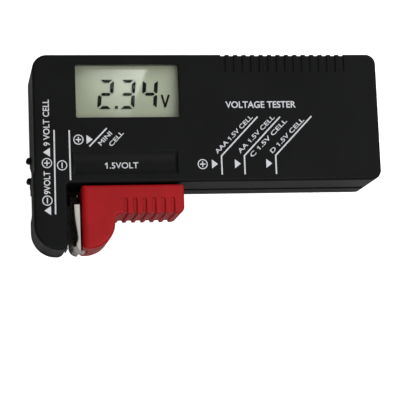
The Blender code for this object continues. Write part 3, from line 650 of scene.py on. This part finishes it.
def rear_shell():
    high = PARTING_Z - PARTING_GAP / 2
    bm = bmesh.new()
    block(bm, [
        (CASE_LEFT, CASE_LOW, 0), (CASE_RIGHT, CASE_LOW, CORNER),
        (CASE_RIGHT, CASE_TOP, CORNER), (CASE_LEFT, CASE_TOP, CORNER_TOP_LEFT),
    ], 0, high, EDGE, PARTING_EDGE)
    obj = finish_mesh("case_rear_shell", bm, BLACK)

    def arm(bm):
        block(bm, [
            (ARM_LEFT, ARM_LOW, CORNER_ARM_LEFT), (ARM_RIGHT, ARM_LOW, CORNER_ARM_RIGHT),
            (ARM_RIGHT, CASE_LOW + 1.4, 0), (CASE_LEFT + 1, CASE_LOW + 1.4, 0),
            (CASE_LEFT + 1, 4.4, 0), (CASE_LEFT + 0.2, 4.4, 0), (ARM_LEFT, STEP_LOW, 0),
        ], ARM_BACK_Z, high, 0.16, 0.16)

    def hollow(bm):
        prism(bm, rounded([
            (CASE_LEFT + WALL, CASE_LOW + WALL, 1.0), (CASE_RIGHT - WALL, CASE_LOW + WALL, 1.0),
            (CASE_RIGHT - WALL, CASE_TOP - WALL, 1.0), (CASE_LEFT + WALL, CASE_TOP - WALL, 2.4),
        ]), WALL, PARTING_Z + 2)

    def arm_hollow(bm):
        prism(bm, rounded([
            (ARM_LEFT + WALL, ARM_LOW + WALL, CORNER_ARM_LEFT - WALL),
            (ARM_RIGHT - WALL, ARM_LOW + WALL, 0.4),
            (ARM_RIGHT - WALL, CASE_LOW + WALL + 0.7, 0),
            (ARM_LEFT + WALL, CASE_LOW + WALL + 0.7, 0),
        ]), ARM_BACK_Z + 1.5, PARTING_Z + 2)

    def bosses(bm):
        for name, place in CASE_SCREWS.items():
            foot = ARM_BACK_Z + 0.8 if name == "case_screw_arm" else 1.0
            prism(bm, circle(place, BOSS_RADIUS + 0.5), foot, high - 0.1)

    def bores(bm):
        for place in CASE_SCREWS.values():
            prism(bm, circle(place, PILOT_RADIUS + 0.1, 16), -1, PARTING_Z + 1)

    def sinks(bm):
        for name, (x, y) in CASE_SCREWS.items():
            back = ARM_BACK_Z if name == "case_screw_arm" else 0.0
            rings = [(back - 1, SINK_MOUTH), (back, SINK_MOUTH), (back + 0.3, SINK_RADIUS),
                     (seat_height(name), SINK_RADIUS)]
            loft(bm, [[(*p, z) for p in circle((x, y), r)] for z, r in rings])
        stack(bm, rectangle(*LABEL_RECESS, 1.5), ((-1, -0.15), (0.0, -0.15), (0.3, 0.1)))

    def pegs(bm):
        """Two pegs, each rounded by the left half of a circle."""
        for y in PEG_Y:
            outline = circle((-PEG_TIP + PEG_RADIUS, y), PEG_RADIUS)[8:25]
            outline += [(CASE_LEFT + 0.6, y - PEG_RADIUS), (CASE_LEFT + 0.6, y + PEG_RADIUS)]
            prism(bm, outline, *PEG_Z)

    boolean(obj, arm, "UNION")
    boolean(obj, hollow)
    boolean(obj, arm_hollow)
    boolean(obj, bosses, "UNION")
    for tool in (bores, sinks, grip_tool, slot_tool, left_wall_hollows, left_wall_windows):
        boolean(obj, tool)
    boolean(obj, pegs, "UNION")
    settle(smooth(obj), CASE, "black_case", "rear_case")


# ---------------------------------------------------------------- slider

def slider_piece():
    bm = bmesh.new()
    block(bm, SLIDER_CORNERS, *SLIDER_Z, SLIDER_BACK_EDGE, SLIDER_EDGE)
    obj = finish_mesh("slider_grip", bm, RED)

    def runner(bm):
        box(bm, (FOOT_X[0], SLIDER_TOP - 1, SLOT["z0"] + SLIDE_GAP),
            (FOOT_X[1], CASE_LOW + 2.5, SLOT["z1"] - SLIDE_GAP))

    def foot(bm):
        box(bm, (FOOT_X[0], CASE_LOW + WALL + SLIDE_GAP, FOOT_Z[0]),
            (FOOT_X[1], CASE_LOW + 4.3, FOOT_Z[1]))

    def left_edge(bm):
        radius = SLIDER_LEFT_EDGE
        arc = [(SLIDER_LEFT + radius * (1 - math.cos(a)), SLIDER_Z[1] - radius * (1 - math.sin(a)))
               for a in quarter(8)]
        arc = [(SLIDER_LEFT - 1, arc[0][1]), *arc, (arc[-1][0], SLIDER_Z[1] + 1),
               (SLIDER_LEFT - 1, SLIDER_Z[1] + 1)]
        prism(bm, arc, LOBE_LOW - 1, SLIDER_TOP + 1, "y")

    def ridges(bm):
        """Channels under the grip, steep on their right and easing out on their left."""
        recess = SLIDER_LOW + RIDGE_DEPTH
        for i in range(RIDGE_COUNT):
            x = RIDGE_FIRST + i * RIDGE_PITCH
            outline = [(x - 1.25, SLIDER_LOW - 1), (x - 1.25, SLIDER_LOW + 0.03),
                       (x - 0.95, SLIDER_LOW + 0.3), (x - 0.65, recess - 0.06), (x - 0.4, recess),
                       (x + 0.35, recess), (x + 0.52, recess - 0.08), (x + 0.66, SLIDER_LOW + 0.06),
                       (x + 0.72, SLIDER_LOW - 1)]
            prism(bm, outline, SLIDER_Z[0] - 1, SLIDER_Z[1] + 1)

    def front_grooves(bm):
        """Grooves that run over the front from a round end down to the channels."""
        floor = [(-4.5, 23.75), (-4.65, 23.45), (-5.2, 23.3), (-7.5, 23.25),
                 (SLIDER_LOW + 1.1, 23.1), (SLIDER_LOW - 0.5, 22.1)]
        half_width, skin, top = 0.64, SLIDER_Z[1] + 0.05, SLIDER_Z[1] + 1.5
        for i in range(RIDGE_COUNT):
            rings = []
            for k in range(-GROOVE_STEPS, GROOVE_STEPS + 1):
                share = groove_share(k, 4, 0.4)
                x = RIDGE_FIRST + i * RIDGE_PITCH + half_width * k / GROOVE_STEPS
                drop = 0.5 * (1 - math.sqrt(1 - (k / GROOVE_STEPS) ** 2))
                path = [(x, y - drop, skin - (skin - z) * share) for y, z in floor]
                rings.append(path + [(x, SLIDER_LOW - 1.2, top), (x, -4.4, top)])
            loft(bm, rings)

    def tail_slot(bm):
        """Way in for the sprung contact's tail, which turns up into the case at its end."""
        bend_x, end_x, outside, above = 8.2, 9.3, SLIDER_LEFT - 1, SLIDER_TOP + 1
        prism(bm, [
            (outside, TAIL_SLOT_LOW), (end_x, TAIL_SLOT_LOW), (end_x, above), (bend_x, above),
            (bend_x, TAIL_SLOT_TOP), (outside, TAIL_SLOT_TOP),
        ], SLOT["z0"], SLOT["z1"])

    def pockets(bm):
        """Hollow back of the grip and of the lobe, and the notch that the hook sits in."""
        box(bm, (15.6, -7.0, SLIDER_Z[0] - 1), (31.8, -2.4, 20.5))
        box(bm, (5.2, -16.5, SLIDER_Z[0] - 1), (10.6, -4.6, 20.5))
        box(bm, (SLIDER_LEFT - 1, LOBE_LOW - 1, 11.4), (SLIDER_LEFT + 1.8, LOBE_LOW + 0.9, 18.6))

    boolean(obj, runner, "UNION")
    boolean(obj, foot, "UNION")
    for tool in (left_edge, ridges, front_grooves, tail_slot, pockets):
        boolean(obj, tool)
    settle(smooth(obj), SLIDER, "red_slider", "slider")


# ---------------------------------------------------------------- metal parts

def contact_surface(offset):
    """Rows of points up the bowed plate; the sheet's thickness as offset gives its inner side."""
    low, high = CONTACT_LOW + offset, CONTACT_TOP - offset
    middle_z = (CONTACT_Z[0] + CONTACT_Z[1]) / 2
    half_z = (CONTACT_Z[1] - CONTACT_Z[0]) / 2 - offset
    bow = CONTACT_FLAT - CONTACT_APEX - offset
    half_up, half_across = CONTACT_STEPS
    rows = []
    for i in range(2 * half_up + 1):
        y = (low + high) / 2 + (high - low) / 2 * math.sin(math.pi / 2 * (i / half_up - 1))
        over = max(0.0, 1 - (y - low) / CONTACT_ROUND)
        depth = bow * math.sqrt(max(0.0, 1 - over ** 2))
        power = (SECTION_POWER + SECTION_ABOVE * settled(y, *ABOVE_SPAN)
                 + SECTION_BELOW * settled(-y, *BELOW_SPAN))
        cut_back = settled(y, *CONTACT_SHOULDER)
        row = []
        for k in range(2 * half_across + 1):
            turn = math.pi / 2 * (k / half_across - 1)
            bend = 2 / (power if turn > 0 else SECTION_BACK)
            across = math.cos(turn) ** bend if 0 < k < 2 * half_across else 0.0
            rise = math.copysign(abs(math.sin(turn)) ** bend, turn)
            across += (1 - across) * cut_back if turn > 0 else 0.0
            rise -= CONTACT_CUT * (rise + 1) * cut_back
            lip = CONTACT_LIP * (1 - across) * cut_back if turn < 0 else 0.0
            row.append((CONTACT_FLAT - depth * across + lip, y, middle_z + half_z * rise))
        rows.append(row)
    return rows


def settled(value, start, end):
    """Smooth step from 0 at start to 1 at end."""
    share = min(1.0, max(0.0, (value - start) / (end - start)))
    return share * share * (3 - 2 * share)


def plate(bm, outer, inner):
    """Closed plate between two grids of points with the same layout."""
    sides = [[[bm.verts.new(p) for p in row] for row in rows] for rows in (outer, inner)]
    for rows in sides:
        for low, high in zip(rows, rows[1:]):
            for a, b, c, d in zip(low, low[1:], high[1:], high):
                bm.faces.new((a, b, c, d))
    rims = [rows[0] + [row[-1] for row in rows[1:]] + rows[-1][-2::-1]
            + [row[0] for row in rows[-2:0:-1]] for rows in sides]
    for i in range(len(rims[0])):
        j = (i + 1) % len(rims[0])
        bm.faces.new((rims[0][i], rims[0][j], rims[1][j], rims[1][i]))
    bmesh.ops.recalc_face_normals(bm, faces=bm.faces)


# Middle lines of the sheet metal, as (x, y)
TAIL = [(0.3, -7.0), (8.4, -7.0), (8.75, -6.65), (8.75, 4.5), (9.1, 4.85), (26.9, 4.85),
        (27.2, 5.15), (27.2, 9.6)]
HOOK = [(1.9, CONTACT_LOW + 0.2), (4.2, CONTACT_LOW + 0.2), (4.5, CONTACT_LOW + 0.45),
        (4.5, CONTACT_LOW + 0.8)]
HOOK_Z = (12.0, 18.0)
LEG = [(LEAF_X, -4.1), (-0.9, -3.62), (-1.1, -3.45), (-6.2, -3.45)]


def sprung_contact():
    """Bowed spring plate with its hook and its tail, and a black sheet of painted shade inside its
    upper end.
    """
    bm = bmesh.new()
    plate(bm, contact_surface(0.0), contact_surface(SHEET))
    prism(bm, strip_outline(TAIL, SHEET), SLOT["z0"] + 0.4, SLOT["z1"] - 0.4)
    prism(bm, strip_outline(HOOK, SHEET), *HOOK_Z)
    obj = finish_mesh("sprung_contact", bm, NICKEL)
    settle(smooth(obj, 40), SLIDER, "nickel", "positive_contact")
    # Painted shade: a black sheet lines the inside of the plate's upper end, which lies in shade
    # under the case
    bm = bmesh.new()
    plate(bm, *([row for row in contact_surface(depth) if row[0][1] > PAINTED_CONTACT_SHADE_LOW]
                for depth in PAINTED_CONTACT_SHADE_DEPTHS))
    contact_shade_sheet = finish_mesh("sprung_contact_painted_shade", bm, INNER["epoxy"])
    settle(smooth(contact_shade_sheet, 40), SLIDER, "epoxy")


def fixed_contact():
    """Leaf that lies against the arm, all but flat, with its leg through the wall."""
    steps = 12
    leaf = [(LEAF_X + LEAF_BOW * math.sin(math.pi * k / steps), LEAF_LOW + LEAF_HIGH * k / steps)
            for k in range(steps + 1)]
    bm = bmesh.new()
    prism(bm, strip_outline(leaf, LEAF_SHEET), *LEAF_Z)
    prism(bm, strip_outline(LEG, LEAF_SHEET), *LEG_Z)
    obj = finish_mesh("fixed_contact", bm, NICKEL)
    settle(smooth(obj, 30), CASE, "nickel", "negative_contact")


def coil_spring():
    """Tension spring between its anchor and the moving contact's tail, straight at both ends."""
    route = [(-5.6, SPRING_Y, SPRING_Z - 0.1), (-5.0, SPRING_Y, SPRING_Z),
             (SPRING_START - 0.5, SPRING_Y + 0.5, SPRING_Z)]
    steps = SPRING_TURNS * SPRING_POINTS
    for i in range(steps + 1):
        angle = math.tau * i / SPRING_POINTS
        route.append((SPRING_START + (SPRING_END - SPRING_START) * i / steps,
                      SPRING_Y + SPRING_RADIUS * math.cos(angle),
                      SPRING_Z + SPRING_RADIUS * math.sin(angle)))
    route += [(SPRING_END + 0.5, SPRING_Y + 0.5, SPRING_Z), (27.2, SPRING_Y, SPRING_Z),
              (28.2, SPRING_Y, SPRING_Z)]
    bm = bmesh.new()
    wire_tube(bm, route, SPRING_WIRE, 6)
    obj = finish_mesh("return_spring_coil", bm, SPRING_STEEL)
    for face in obj.data.polygons:
        face.use_smooth = True
    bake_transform(obj)
    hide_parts("return_spring")


def case_screw(name, place, seat):
    """Pan head screw with a tapered cross recess and a threaded shank."""
    x, y = place
    back = seat - 1.6
    thread = 24
    profile = [(0.15, back), (0.9, back + 0.03), (1.4, back + 0.16), (1.75, back + 0.42),
               (1.95, back + 0.8), (2.0, back + 1.1), (1.96, back + 1.3), (1.85, back + 1.4),
               (0.75, back + 1.4)]
    profile += [(0.7 + 0.25 * (k % 2), back + 1.8 + 0.4 * k) for k in range(thread)]
    profile += [(0.3, back + 11.6)]
    bm = bmesh.new()
    loft(bm, [[(*p, z) for p in circle((x, y), radius, 28)] for radius, z in profile])
    obj = finish_mesh(name.replace("case_", "shell_"), bm, SCREW_STEEL)

    def recess(bm):
        rings = []
        for z, arm, half in ((back - 0.5, 1.25, 0.36), (back + 1.15, 0.45, 0.16)):
            rings.append([(x + u, y + v, z) for u, v in (
                (arm, -half), (arm, half), (half, half), (half, arm), (-half, arm), (-half, half),
                (-arm, half), (-arm, -half), (-half, -half), (-half, -arm), (half, -arm),
                (half, -half))])
        loft(bm, rings)

    boolean(obj, recess)
    settle(smooth(obj, 28), CASE, "screw_steel", name)


# ---------------------------------------------------------------- display

DIGIT_HIGH = 8.9
DIGIT_WIDE = 4.6
UPRIGHT = 1.12
LEVEL = 0.95
SLANT = 0.085
SEGMENTS = {"2": "abged", "3": "abgcd", "4": "fgbc"}
FIGURES = (("2", 8.75), ("3", 15.2), ("4", 21.9))
FIGURE_Y = 22.72
POINT = [(14.0, 22.75), (14.9, 22.75), (14.98, 23.65), (14.08, 23.65)]
UNIT = [(28.15, 27.0), (29.1, 23.3), (30.3, 27.0)]
UNIT_LINE = 0.62


def segment_shapes():
    """The seven bars of a digit, as closed outlines from its lower left corner."""
    w, h, m = DIGIT_WIDE, DIGIT_HIGH, DIGIT_HIGH / 2

    def flip_x(shape):
        return [(w - x, y) for x, y in shape]

    def flip_y(shape):
        return [(x, h - y) for x, y in shape]

    top = [(0.55, h), (w - 0.55, h), (w - 0.6 - LEVEL, h - LEVEL), (0.6 + LEVEL, h - LEVEL)]
    right = [(w - 0.12, h - 0.42), (w, h - 0.75), (w, m + 0.55), (w - 0.35, m + 0.22),
             (w - UPRIGHT, m + 0.75), (w - UPRIGHT, h - 1.25)]
    middle = [(0.75, m), (1.3, m + LEVEL / 2), (w - 1.3, m + LEVEL / 2), (w - 0.75, m),
              (w - 1.3, m - LEVEL / 2), (1.3, m - LEVEL / 2)]
    return {"a": top, "b": right, "c": flip_y(right), "d": flip_y(top),
            "e": flip_x(flip_y(right)), "f": flip_x(right), "g": middle}


def reading(bm, low, high, shift):
    """The figures, the point and the unit on the display."""
    shapes = segment_shapes()
    outlines = [[(x0 + x + SLANT * y, FIGURE_Y + y) for x, y in shapes[key]]
                for figure, x0 in FIGURES for key in SEGMENTS[figure]]
    outlines += [POINT] + [strip_outline([a, b], UNIT_LINE) for a, b in zip(UNIT, UNIT[1:])]
    for outline in outlines:
        prism(bm, [(x + shift[0], y + shift[1]) for x, y in outline], low, high)


def pane(name, corners, z_span, rim, material):
    bm = bmesh.new()
    block(bm, corners, *z_span, rim, rim)
    return smooth(finish_mesh(name, bm, material))


def display():
    """Lens, glass, and the figures with a faint painted shadow: a darker copy of them set just
    under them and shifted down to the left.
    """
    x0, x1, y0, y1 = WINDOW
    top = y1 + LENS_MARGIN
    lens = rectangle(x0 - LENS_MARGIN, x1 + LENS_MARGIN, y0 - LENS_MARGIN, top, 0.6)
    settle(pane("display_lens", lens, LENS_Z, 0.12, LENS), CASE, "clear_lens", "lcd_window")
    glass = rectangle(x0 - GLASS_SIDE, x1 + GLASS_SIDE, y0 - GLASS_BELOW, top, 0.3)
    settle(pane("display_glass", glass, LCD_Z, 0.08, LCD), CASE, "lcd", "lcd_panel")
    # The first copy is the figures' painted shadow, shifted and a little darker than the display
    for name, height, shift, material in (
            ("display_figure_shadows", 0.012, (-0.22, -0.3), SEGMENT_SHADOW),
            ("display_figures", 0.03, (0.0, 0.0), SEGMENT)):
        bm = bmesh.new()
        reading(bm, LCD_Z[1] - 0.05, LCD_Z[1] + height, shift)
        settle(finish_mesh(name, bm, material), CASE, "lcd")


# ---------------------------------------------------------------- printed marks

INK_LOW = THICKNESS - INK_DEEP
INK_TOP = THICKNESS + INK_HIGH


def ink_band(bm, *route):
    prism(bm, strip_outline(route, LINE), INK_LOW, INK_TOP)


def ink_arrow(bm, tip, base_middle):
    ahead = (Vector(tip) - Vector(base_middle)).normalized()
    side = Vector((-ahead.y, ahead.x)) * ARROW_HALF
    base = Vector(base_middle)
    prism(bm, [tuple(tip), tuple(base + side), tuple(base - side)], INK_LOW, INK_TOP)


def ink_sign(bm, centre, *bars):
    """Ring with one bar (minus) or two (plus); bars are their directions in degrees."""
    steps = 40
    outer, inner = (circle(centre, radius, steps)
                    for radius in (SIGN_RADIUS, SIGN_RADIUS - SIGN_RING))
    rows = [[bm.verts.new((*p, z)) for p in ring]
            for ring, z in ((outer, INK_LOW), (outer, INK_TOP), (inner, INK_TOP), (inner, INK_LOW))]
    for first, second in zip(rows, rows[1:] + rows[:1]):
        for i in range(steps):
            j = (i + 1) % steps
            bm.faces.new((first[i], first[j], second[j], second[i]))
    middle = Vector(centre)
    for k, degrees in enumerate(bars):
        turn = math.radians(degrees)
        reach = Vector((math.cos(turn), math.sin(turn))) * SIGN_REACH
        bar = strip_outline([middle - reach, middle + reach], SIGN_BAR)
        prism(bm, bar, INK_LOW, INK_TOP + 0.002 * k)


def lettering(bm, text, start, cap, length, degrees, weight=0.012, surface_z=None):
    """Capitals fitted to a cap height and a length, along a baseline from start.

    The font's 1 is a bare stem, so each gets a flag. Weight thickens the strokes, and surface_z
    gives how far the surface lies under the front at a height on it.
    """
    curve = bpy.data.curves.new("lettering", "FONT")
    curve.body = text
    curve.offset = weight
    curve.extrude = 0.5
    curve.resolution_u = 4
    holder = add_object("lettering", curve)
    graph = bpy.context.evaluated_depsgraph_get()
    flat = bpy.data.meshes.new_from_object(holder.evaluated_get(graph))
    flags = []
    for index, letter in enumerate(text):
        if letter == "1":
            curve.body = text[:index + 1]
            bpy.context.view_layer.update()
            flags.append(holder.dimensions.x)
    curve.body = "1"
    bpy.context.view_layer.update()
    stem = holder.dimensions.x
    bpy.data.objects.remove(holder, do_unlink=True)
    letters = bmesh.new()
    letters.from_mesh(flat)
    bpy.data.meshes.remove(flat)
    bmesh.ops.remove_doubles(letters, verts=letters.verts, dist=1e-5)
    low = Vector([min(v.co[i] for v in letters.verts) for i in range(3)])
    high = Vector([max(v.co[i] for v in letters.verts) for i in range(3)])
    spin = Matrix.Rotation(math.radians(degrees), 2)
    for vert in letters.verts:
        along = (vert.co.x - low.x) / (high.x - low.x) * length
        rise = (vert.co.y - low.y) / (high.y - low.y) * cap
        place = Vector(start) + spin @ Vector((along, rise))
        vert.co = (*place, INK_TOP if vert.co.z > 0 else INK_LOW)
    scale = length / (high.x - low.x)
    for right in flags:
        left = (right - stem) * scale
        inner, tip = left + stem * scale * 0.5, left - 0.24 * cap
        flag = [(inner, cap), (inner, 0.76 * cap), (tip, 0.6 * cap), (tip, 0.79 * cap)]
        prism(letters, [tuple(Vector(start) + spin @ Vector(p)) for p in flag], INK_LOW, INK_TOP)
    if surface_z:
        strips = 8
        for k in range(1, strips):
            everything = letters.verts[:] + letters.edges[:] + letters.faces[:]
            bmesh.ops.bisect_plane(letters, geom=everything, plane_no=(0, 1, 0),
                                   plane_co=(0, start[1] + cap * k / strips, 0))
        for vert in letters.verts:
            vert.co.z -= surface_z(vert.co.y)
    holder_mesh = bpy.data.meshes.new("letters")
    letters.to_mesh(holder_mesh)
    letters.free()
    bm.from_mesh(holder_mesh)
    bpy.data.meshes.remove(holder_mesh)


def print_piece(name, build):
    bm = bmesh.new()
    build(bm)
    settle(finish_mesh(name, bm, INK), CASE, "black_case")


def nine_volt_print(bm):
    ink_band(bm, (-4.42, 15.8), (-4.57, -9.1))
    ink_band(bm, (0.0, 15.7), (0.02, 0.9))
    ink_arrow(bm, (-7.75, -8.0), (-5.85, -8.0))
    ink_sign(bm, (-6.85, -5.06), 90)
    ink_sign(bm, (-6.72, 6.0), 0, 90)
    ink_arrow(bm, (-7.75, 9.2), (-5.75, 9.2))
    ink_sign(bm, (-2.32, 5.29), 90)
    lettering(bm, "9VOLT", (-5.85, -3.2), 1.9, 6.75, 90)
    lettering(bm, "9 VOLT CELL", (-5.7, 11.1), 1.9, 13.8, 90)


def mini_print(bm):
    ink_sign(bm, (2.64, 12.88), 0, 90)
    ink_arrow(bm, (6.85, 12.9), (5.0, 12.9))
    ink_band(bm, (5.8, 10.8), (11.05, 16.24))
    lettering(bm, "MINI", (9.25, 10.95), 1.35, 4.9, 46)
    lettering(bm, "CELL", (12.35, 10.6), 1.35, 5.5, 47)


def scale_print(bm):
    ink_sign(bm, (39.14, 5.2), 0, 90)
    for x, reach in ((44.85, 11.4), (51.74, 11.3), (61.2, 11.45)):
        ink_band(bm, (x, 2.0), (x, 7.6), (x + reach, 7.6 + reach * 1.035))
        ink_arrow(bm, (x - 1.15, 5.2), (x - 2.95, 5.2))
    for text, start, length in (
            ("AAA 1.5V CELL", (43.75, 8.15), 15.6), ("AA 1.5V CELL", (50.6, 8.25), 15.3),
            ("C 1.5V CELL", (54.2, 7.0), 15.5), ("D 1.5V CELL", (60.35, 8.2), 14.2)):
        lettering(bm, text, start, 1.35, length, 44.6)


def title_print(bm):
    lettering(bm, "VOLTAGE TESTER", (46.7, 22.05), 2.05, 21.3, 0, 0.016)


def scoop_print(bm):
    lettering(bm, "1.5VOLT", (10.75, 4.3), 1.85, 9.4, 0, 0.008, scoop_depth)


# ---------------------------------------------------------------- CAD nodes that stay

# Material, width of its softened edges, and the nodes that carry it
KEPT = (
    (NICKEL, 0.12, "nine_volt_plus_contact nine_volt_minus_contact"),
    (NICKEL, 0.08, "spring_anchor"),
    (INNER["zebra"], 0.15, "zebra_strip_upper zebra_strip_lower"),
    (INNER["board"], 0.0, "pcb"),
    (INNER["epoxy"], 0.0, "cob_chip transistor"),
    (INNER["resistor"], 0.0, "resistor_1 resistor_2 resistor_3 resistor_4"),
    (INNER["ceramic"], 0.0, "capacitor_1 capacitor_2"),
    (INNER["can"], 0.0, "electrolytic_capacitor"),
    (INNER["ferrite"], 0.0, "boost_inductor"),
    (INNER["wire_black"], 0.0, "wire_negative wire_nine_volt_minus"),
    (INNER["wire_red"], 0.0, "wire_positive wire_nine_volt_plus"),
    (SCREW_STEEL, 0.0, "pcb_screw_left pcb_screw_right pcb_screw_top"),
)


def dress_kept_nodes():
    for material, edge, names in KEPT:
        for name in names.split():
            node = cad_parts[name]
            node.data.materials.clear()
            node.data.materials.append(material)
            if edge:
                bevel = node.modifiers.new("soft_edges", "BEVEL")
                bevel.width = edge * MM
                bevel.segments = 2
                bevel.limit_method = "ANGLE"
                bevel.angle_limit = math.radians(40)


# ---------------------------------------------------------------- studio

# Places of the camera and of the cards in the design frame; the cards' outlines are in metres
CAMERA_PLACE = (-38.81, -82.14, 505.09)
CAMERA_TURN = (-9.05, 8.95, 0.81)
CAMERA_LENS, SENSOR = 151.0, 36.0
GLARE_CARD = (98.15, 176.15, 600.0)
GLARE_OUTLINE = [(0.0058, 0.012), (-0.0121, -0.0344), (-0.075, -0.0344), (-0.075, 0.012)]
GLARE_STRENGTH, GLARE_REACH = 7.0, 0.045
# Painted shade: a near-black card on the floor under the contact gap, which only mirrors see,
# darkens the floor that the sprung contact reflects
PAINTED_SHADE_CARD = (-9.5, -21.0, 0.1)
PAINTED_SHADE_OUTLINE = [(0.0, 0.0), (0.0, 0.026), (0.013, 0.026), (0.013, 0.0)]
PAINTED_SHADE_STRENGTH = 0.01

# Lamps in metres: place, size and power, all aimed at one target
LAMPS = {
    "key_upper_right": ((0.6, 0.6, 0.65), (0.6, 0.6), 4.5),
    "fill_front": ((0.32, -0.25, 0.9), (0.4, 0.4), 2.5),
    "fill_lower": ((-0.3, -0.9, 0.5), (0.8, 0.4), 3.0),
}
LAMP_TARGET = (0, 0, 0.01)

# Greys of the floor to bounced light and to the camera, and of the surround at three heights
FLOOR_BOUNCED, FLOOR_SEEN, FLOOR_GLOW = 0.4, 0.9, 0.8
SURROUND = ((0.0, 0.12), (0.45, 0.28), (0.9, 0.6))


def emission_material(name, strength, falloff=None):
    """Glowing card, fading with distance from its own origin where falloff (metres) is given."""
    material, tree, shader = new_material(name)
    tree.nodes.remove(shader)
    if falloff:
        place = add_node(tree, "TexCoord", {}, "Object")
        away = add_node(tree, "VectorMath", {0: place}, "Value", operation="LENGTH")
        strength = spread(tree, away, strength, 0.0, 0.0, falloff)
    glow = add_node(tree, "Emission", {"Strength": strength}, "Emission")
    feed(tree, tree.nodes["Material Output"], {"Surface": glow})
    return material


def studio_floor():
    """Pale paper that is brighter to the camera than to bounced light."""
    bm = bmesh.new()
    bmesh.ops.create_grid(bm, x_segments=8, y_segments=8, size=1.0)
    mesh = bpy.data.meshes.new("floor")
    bm.to_mesh(mesh)
    bm.free()
    obj = add_object("floor", mesh)
    obj.scale = (3, 3, 1)
    material, tree, shader = new_material("floor_paper")
    seen = add_node(tree, "LightPath", {}, "Is Camera Ray")
    feed(tree, shader, {
        "Base Color": mix_colour(tree, seen, [FLOOR_BOUNCED] * 3, [FLOOR_SEEN] * 3),
        "Emission Strength": spread(tree, seen, 0.0, FLOOR_GLOW),
        "Emission Color": (1, 1, 1, 1),
        "Roughness": 0.9,
    })
    mesh.materials.append(material)


def area_light(name, place, size, power):
    lamp = bpy.data.lights.new(name, "AREA")
    lamp.shape = "RECTANGLE"
    lamp.size, lamp.size_y = size
    lamp.energy = power
    obj = add_object(name, lamp)
    obj.location = place
    aim = Vector(LAMP_TARGET) - Vector(place)
    obj.rotation_euler = aim.to_track_quat("-Z", "Y").to_euler()


def studio_card(name, outline, place, material):
    """Flat card that only mirrors see."""
    mesh = bpy.data.meshes.new(name)
    mesh.from_pydata([(x, y, 0.0) for x, y in outline], [], [(3, 2, 1, 0)])
    mesh.materials.append(material)
    obj = add_object(name, mesh)
    obj.location = to_world(place)
    obj.visible_camera = False
    obj.visible_diffuse = False
    obj.visible_shadow = False
    obj.visible_transmission = False


def cards():
    """A slanted bright card mirrored in the display, and a dark card of painted shade under the
    contact gap, which mirrors see in place of the shaded floor there.
    """
    studio_card("glare_card", GLARE_OUTLINE, GLARE_CARD,
                emission_material("card_glow", GLARE_STRENGTH, GLARE_REACH))
    studio_card("painted_shade_card", PAINTED_SHADE_OUTLINE, PAINTED_SHADE_CARD, emission_material("painted_shade_card_glow", PAINTED_SHADE_STRENGTH))


def world_light():
    """Grey surround that brightens upwards; to the camera it is white."""
    world = bpy.data.worlds.new("studio")
    bpy.context.scene.world = world
    world.use_nodes = True
    tree = world.node_tree
    place = add_node(tree, "TexCoord", {}, "Generated")
    height = add_node(tree, "SeparateXYZ", {"Vector": place}, "Z")
    ramp = tree.nodes.new("ShaderNodeValToRGB")
    stops = ramp.color_ramp.elements
    stops[1].position = SURROUND[2][0]
    stops.new(SURROUND[1][0])
    for stop, (position, grey) in zip(stops, SURROUND):
        stop.position = position
        stop.color = (grey, grey, grey, 1)
    feed(tree, ramp, {"Fac": height})
    seen = add_node(tree, "LightPath", {}, "Is Camera Ray")
    colour = mix_colour(tree, seen, ramp.outputs["Color"], (1, 1, 1))
    feed(tree, tree.nodes["Background"], {"Color": colour, "Strength": 1.0})


def camera():
    data = bpy.data.cameras.new("camera")
    data.sensor_width = SENSOR
    data.lens = CAMERA_LENS
    data.clip_start, data.clip_end = 0.01, 20.0
    obj = add_object("camera", data)
    turn = Euler([math.radians(a) for a in CAMERA_TURN], "XYZ").to_matrix()
    obj.matrix_world = Matrix.Translation(to_world(CAMERA_PLACE)) @ turn.transposed().to_4x4()
    bpy.context.scene.camera = obj


def studio():
    studio_floor()
    world_light()
    cards()
    for name, (place, size, power) in LAMPS.items():
        area_light(name, place, size, power)
    bpy.context.scene.view_settings.view_transform = "Standard"
    camera()


# ---------------------------------------------------------------- assembly

front_shell()
rear_shell()
slider_piece()
sprung_contact()
fixed_contact()
coil_spring()
for screw_name, screw_place in CASE_SCREWS.items():
    case_screw(screw_name, screw_place, seat_height(screw_name))
display()
for print_name, print_build in (
        ("print_nine_volt", nine_volt_print), ("print_mini_cell", mini_print),
        ("print_scale", scale_print), ("print_title", title_print), ("print_scoop", scoop_print)):
    print_piece(print_name, print_build)
dress_kept_nodes()
studio()
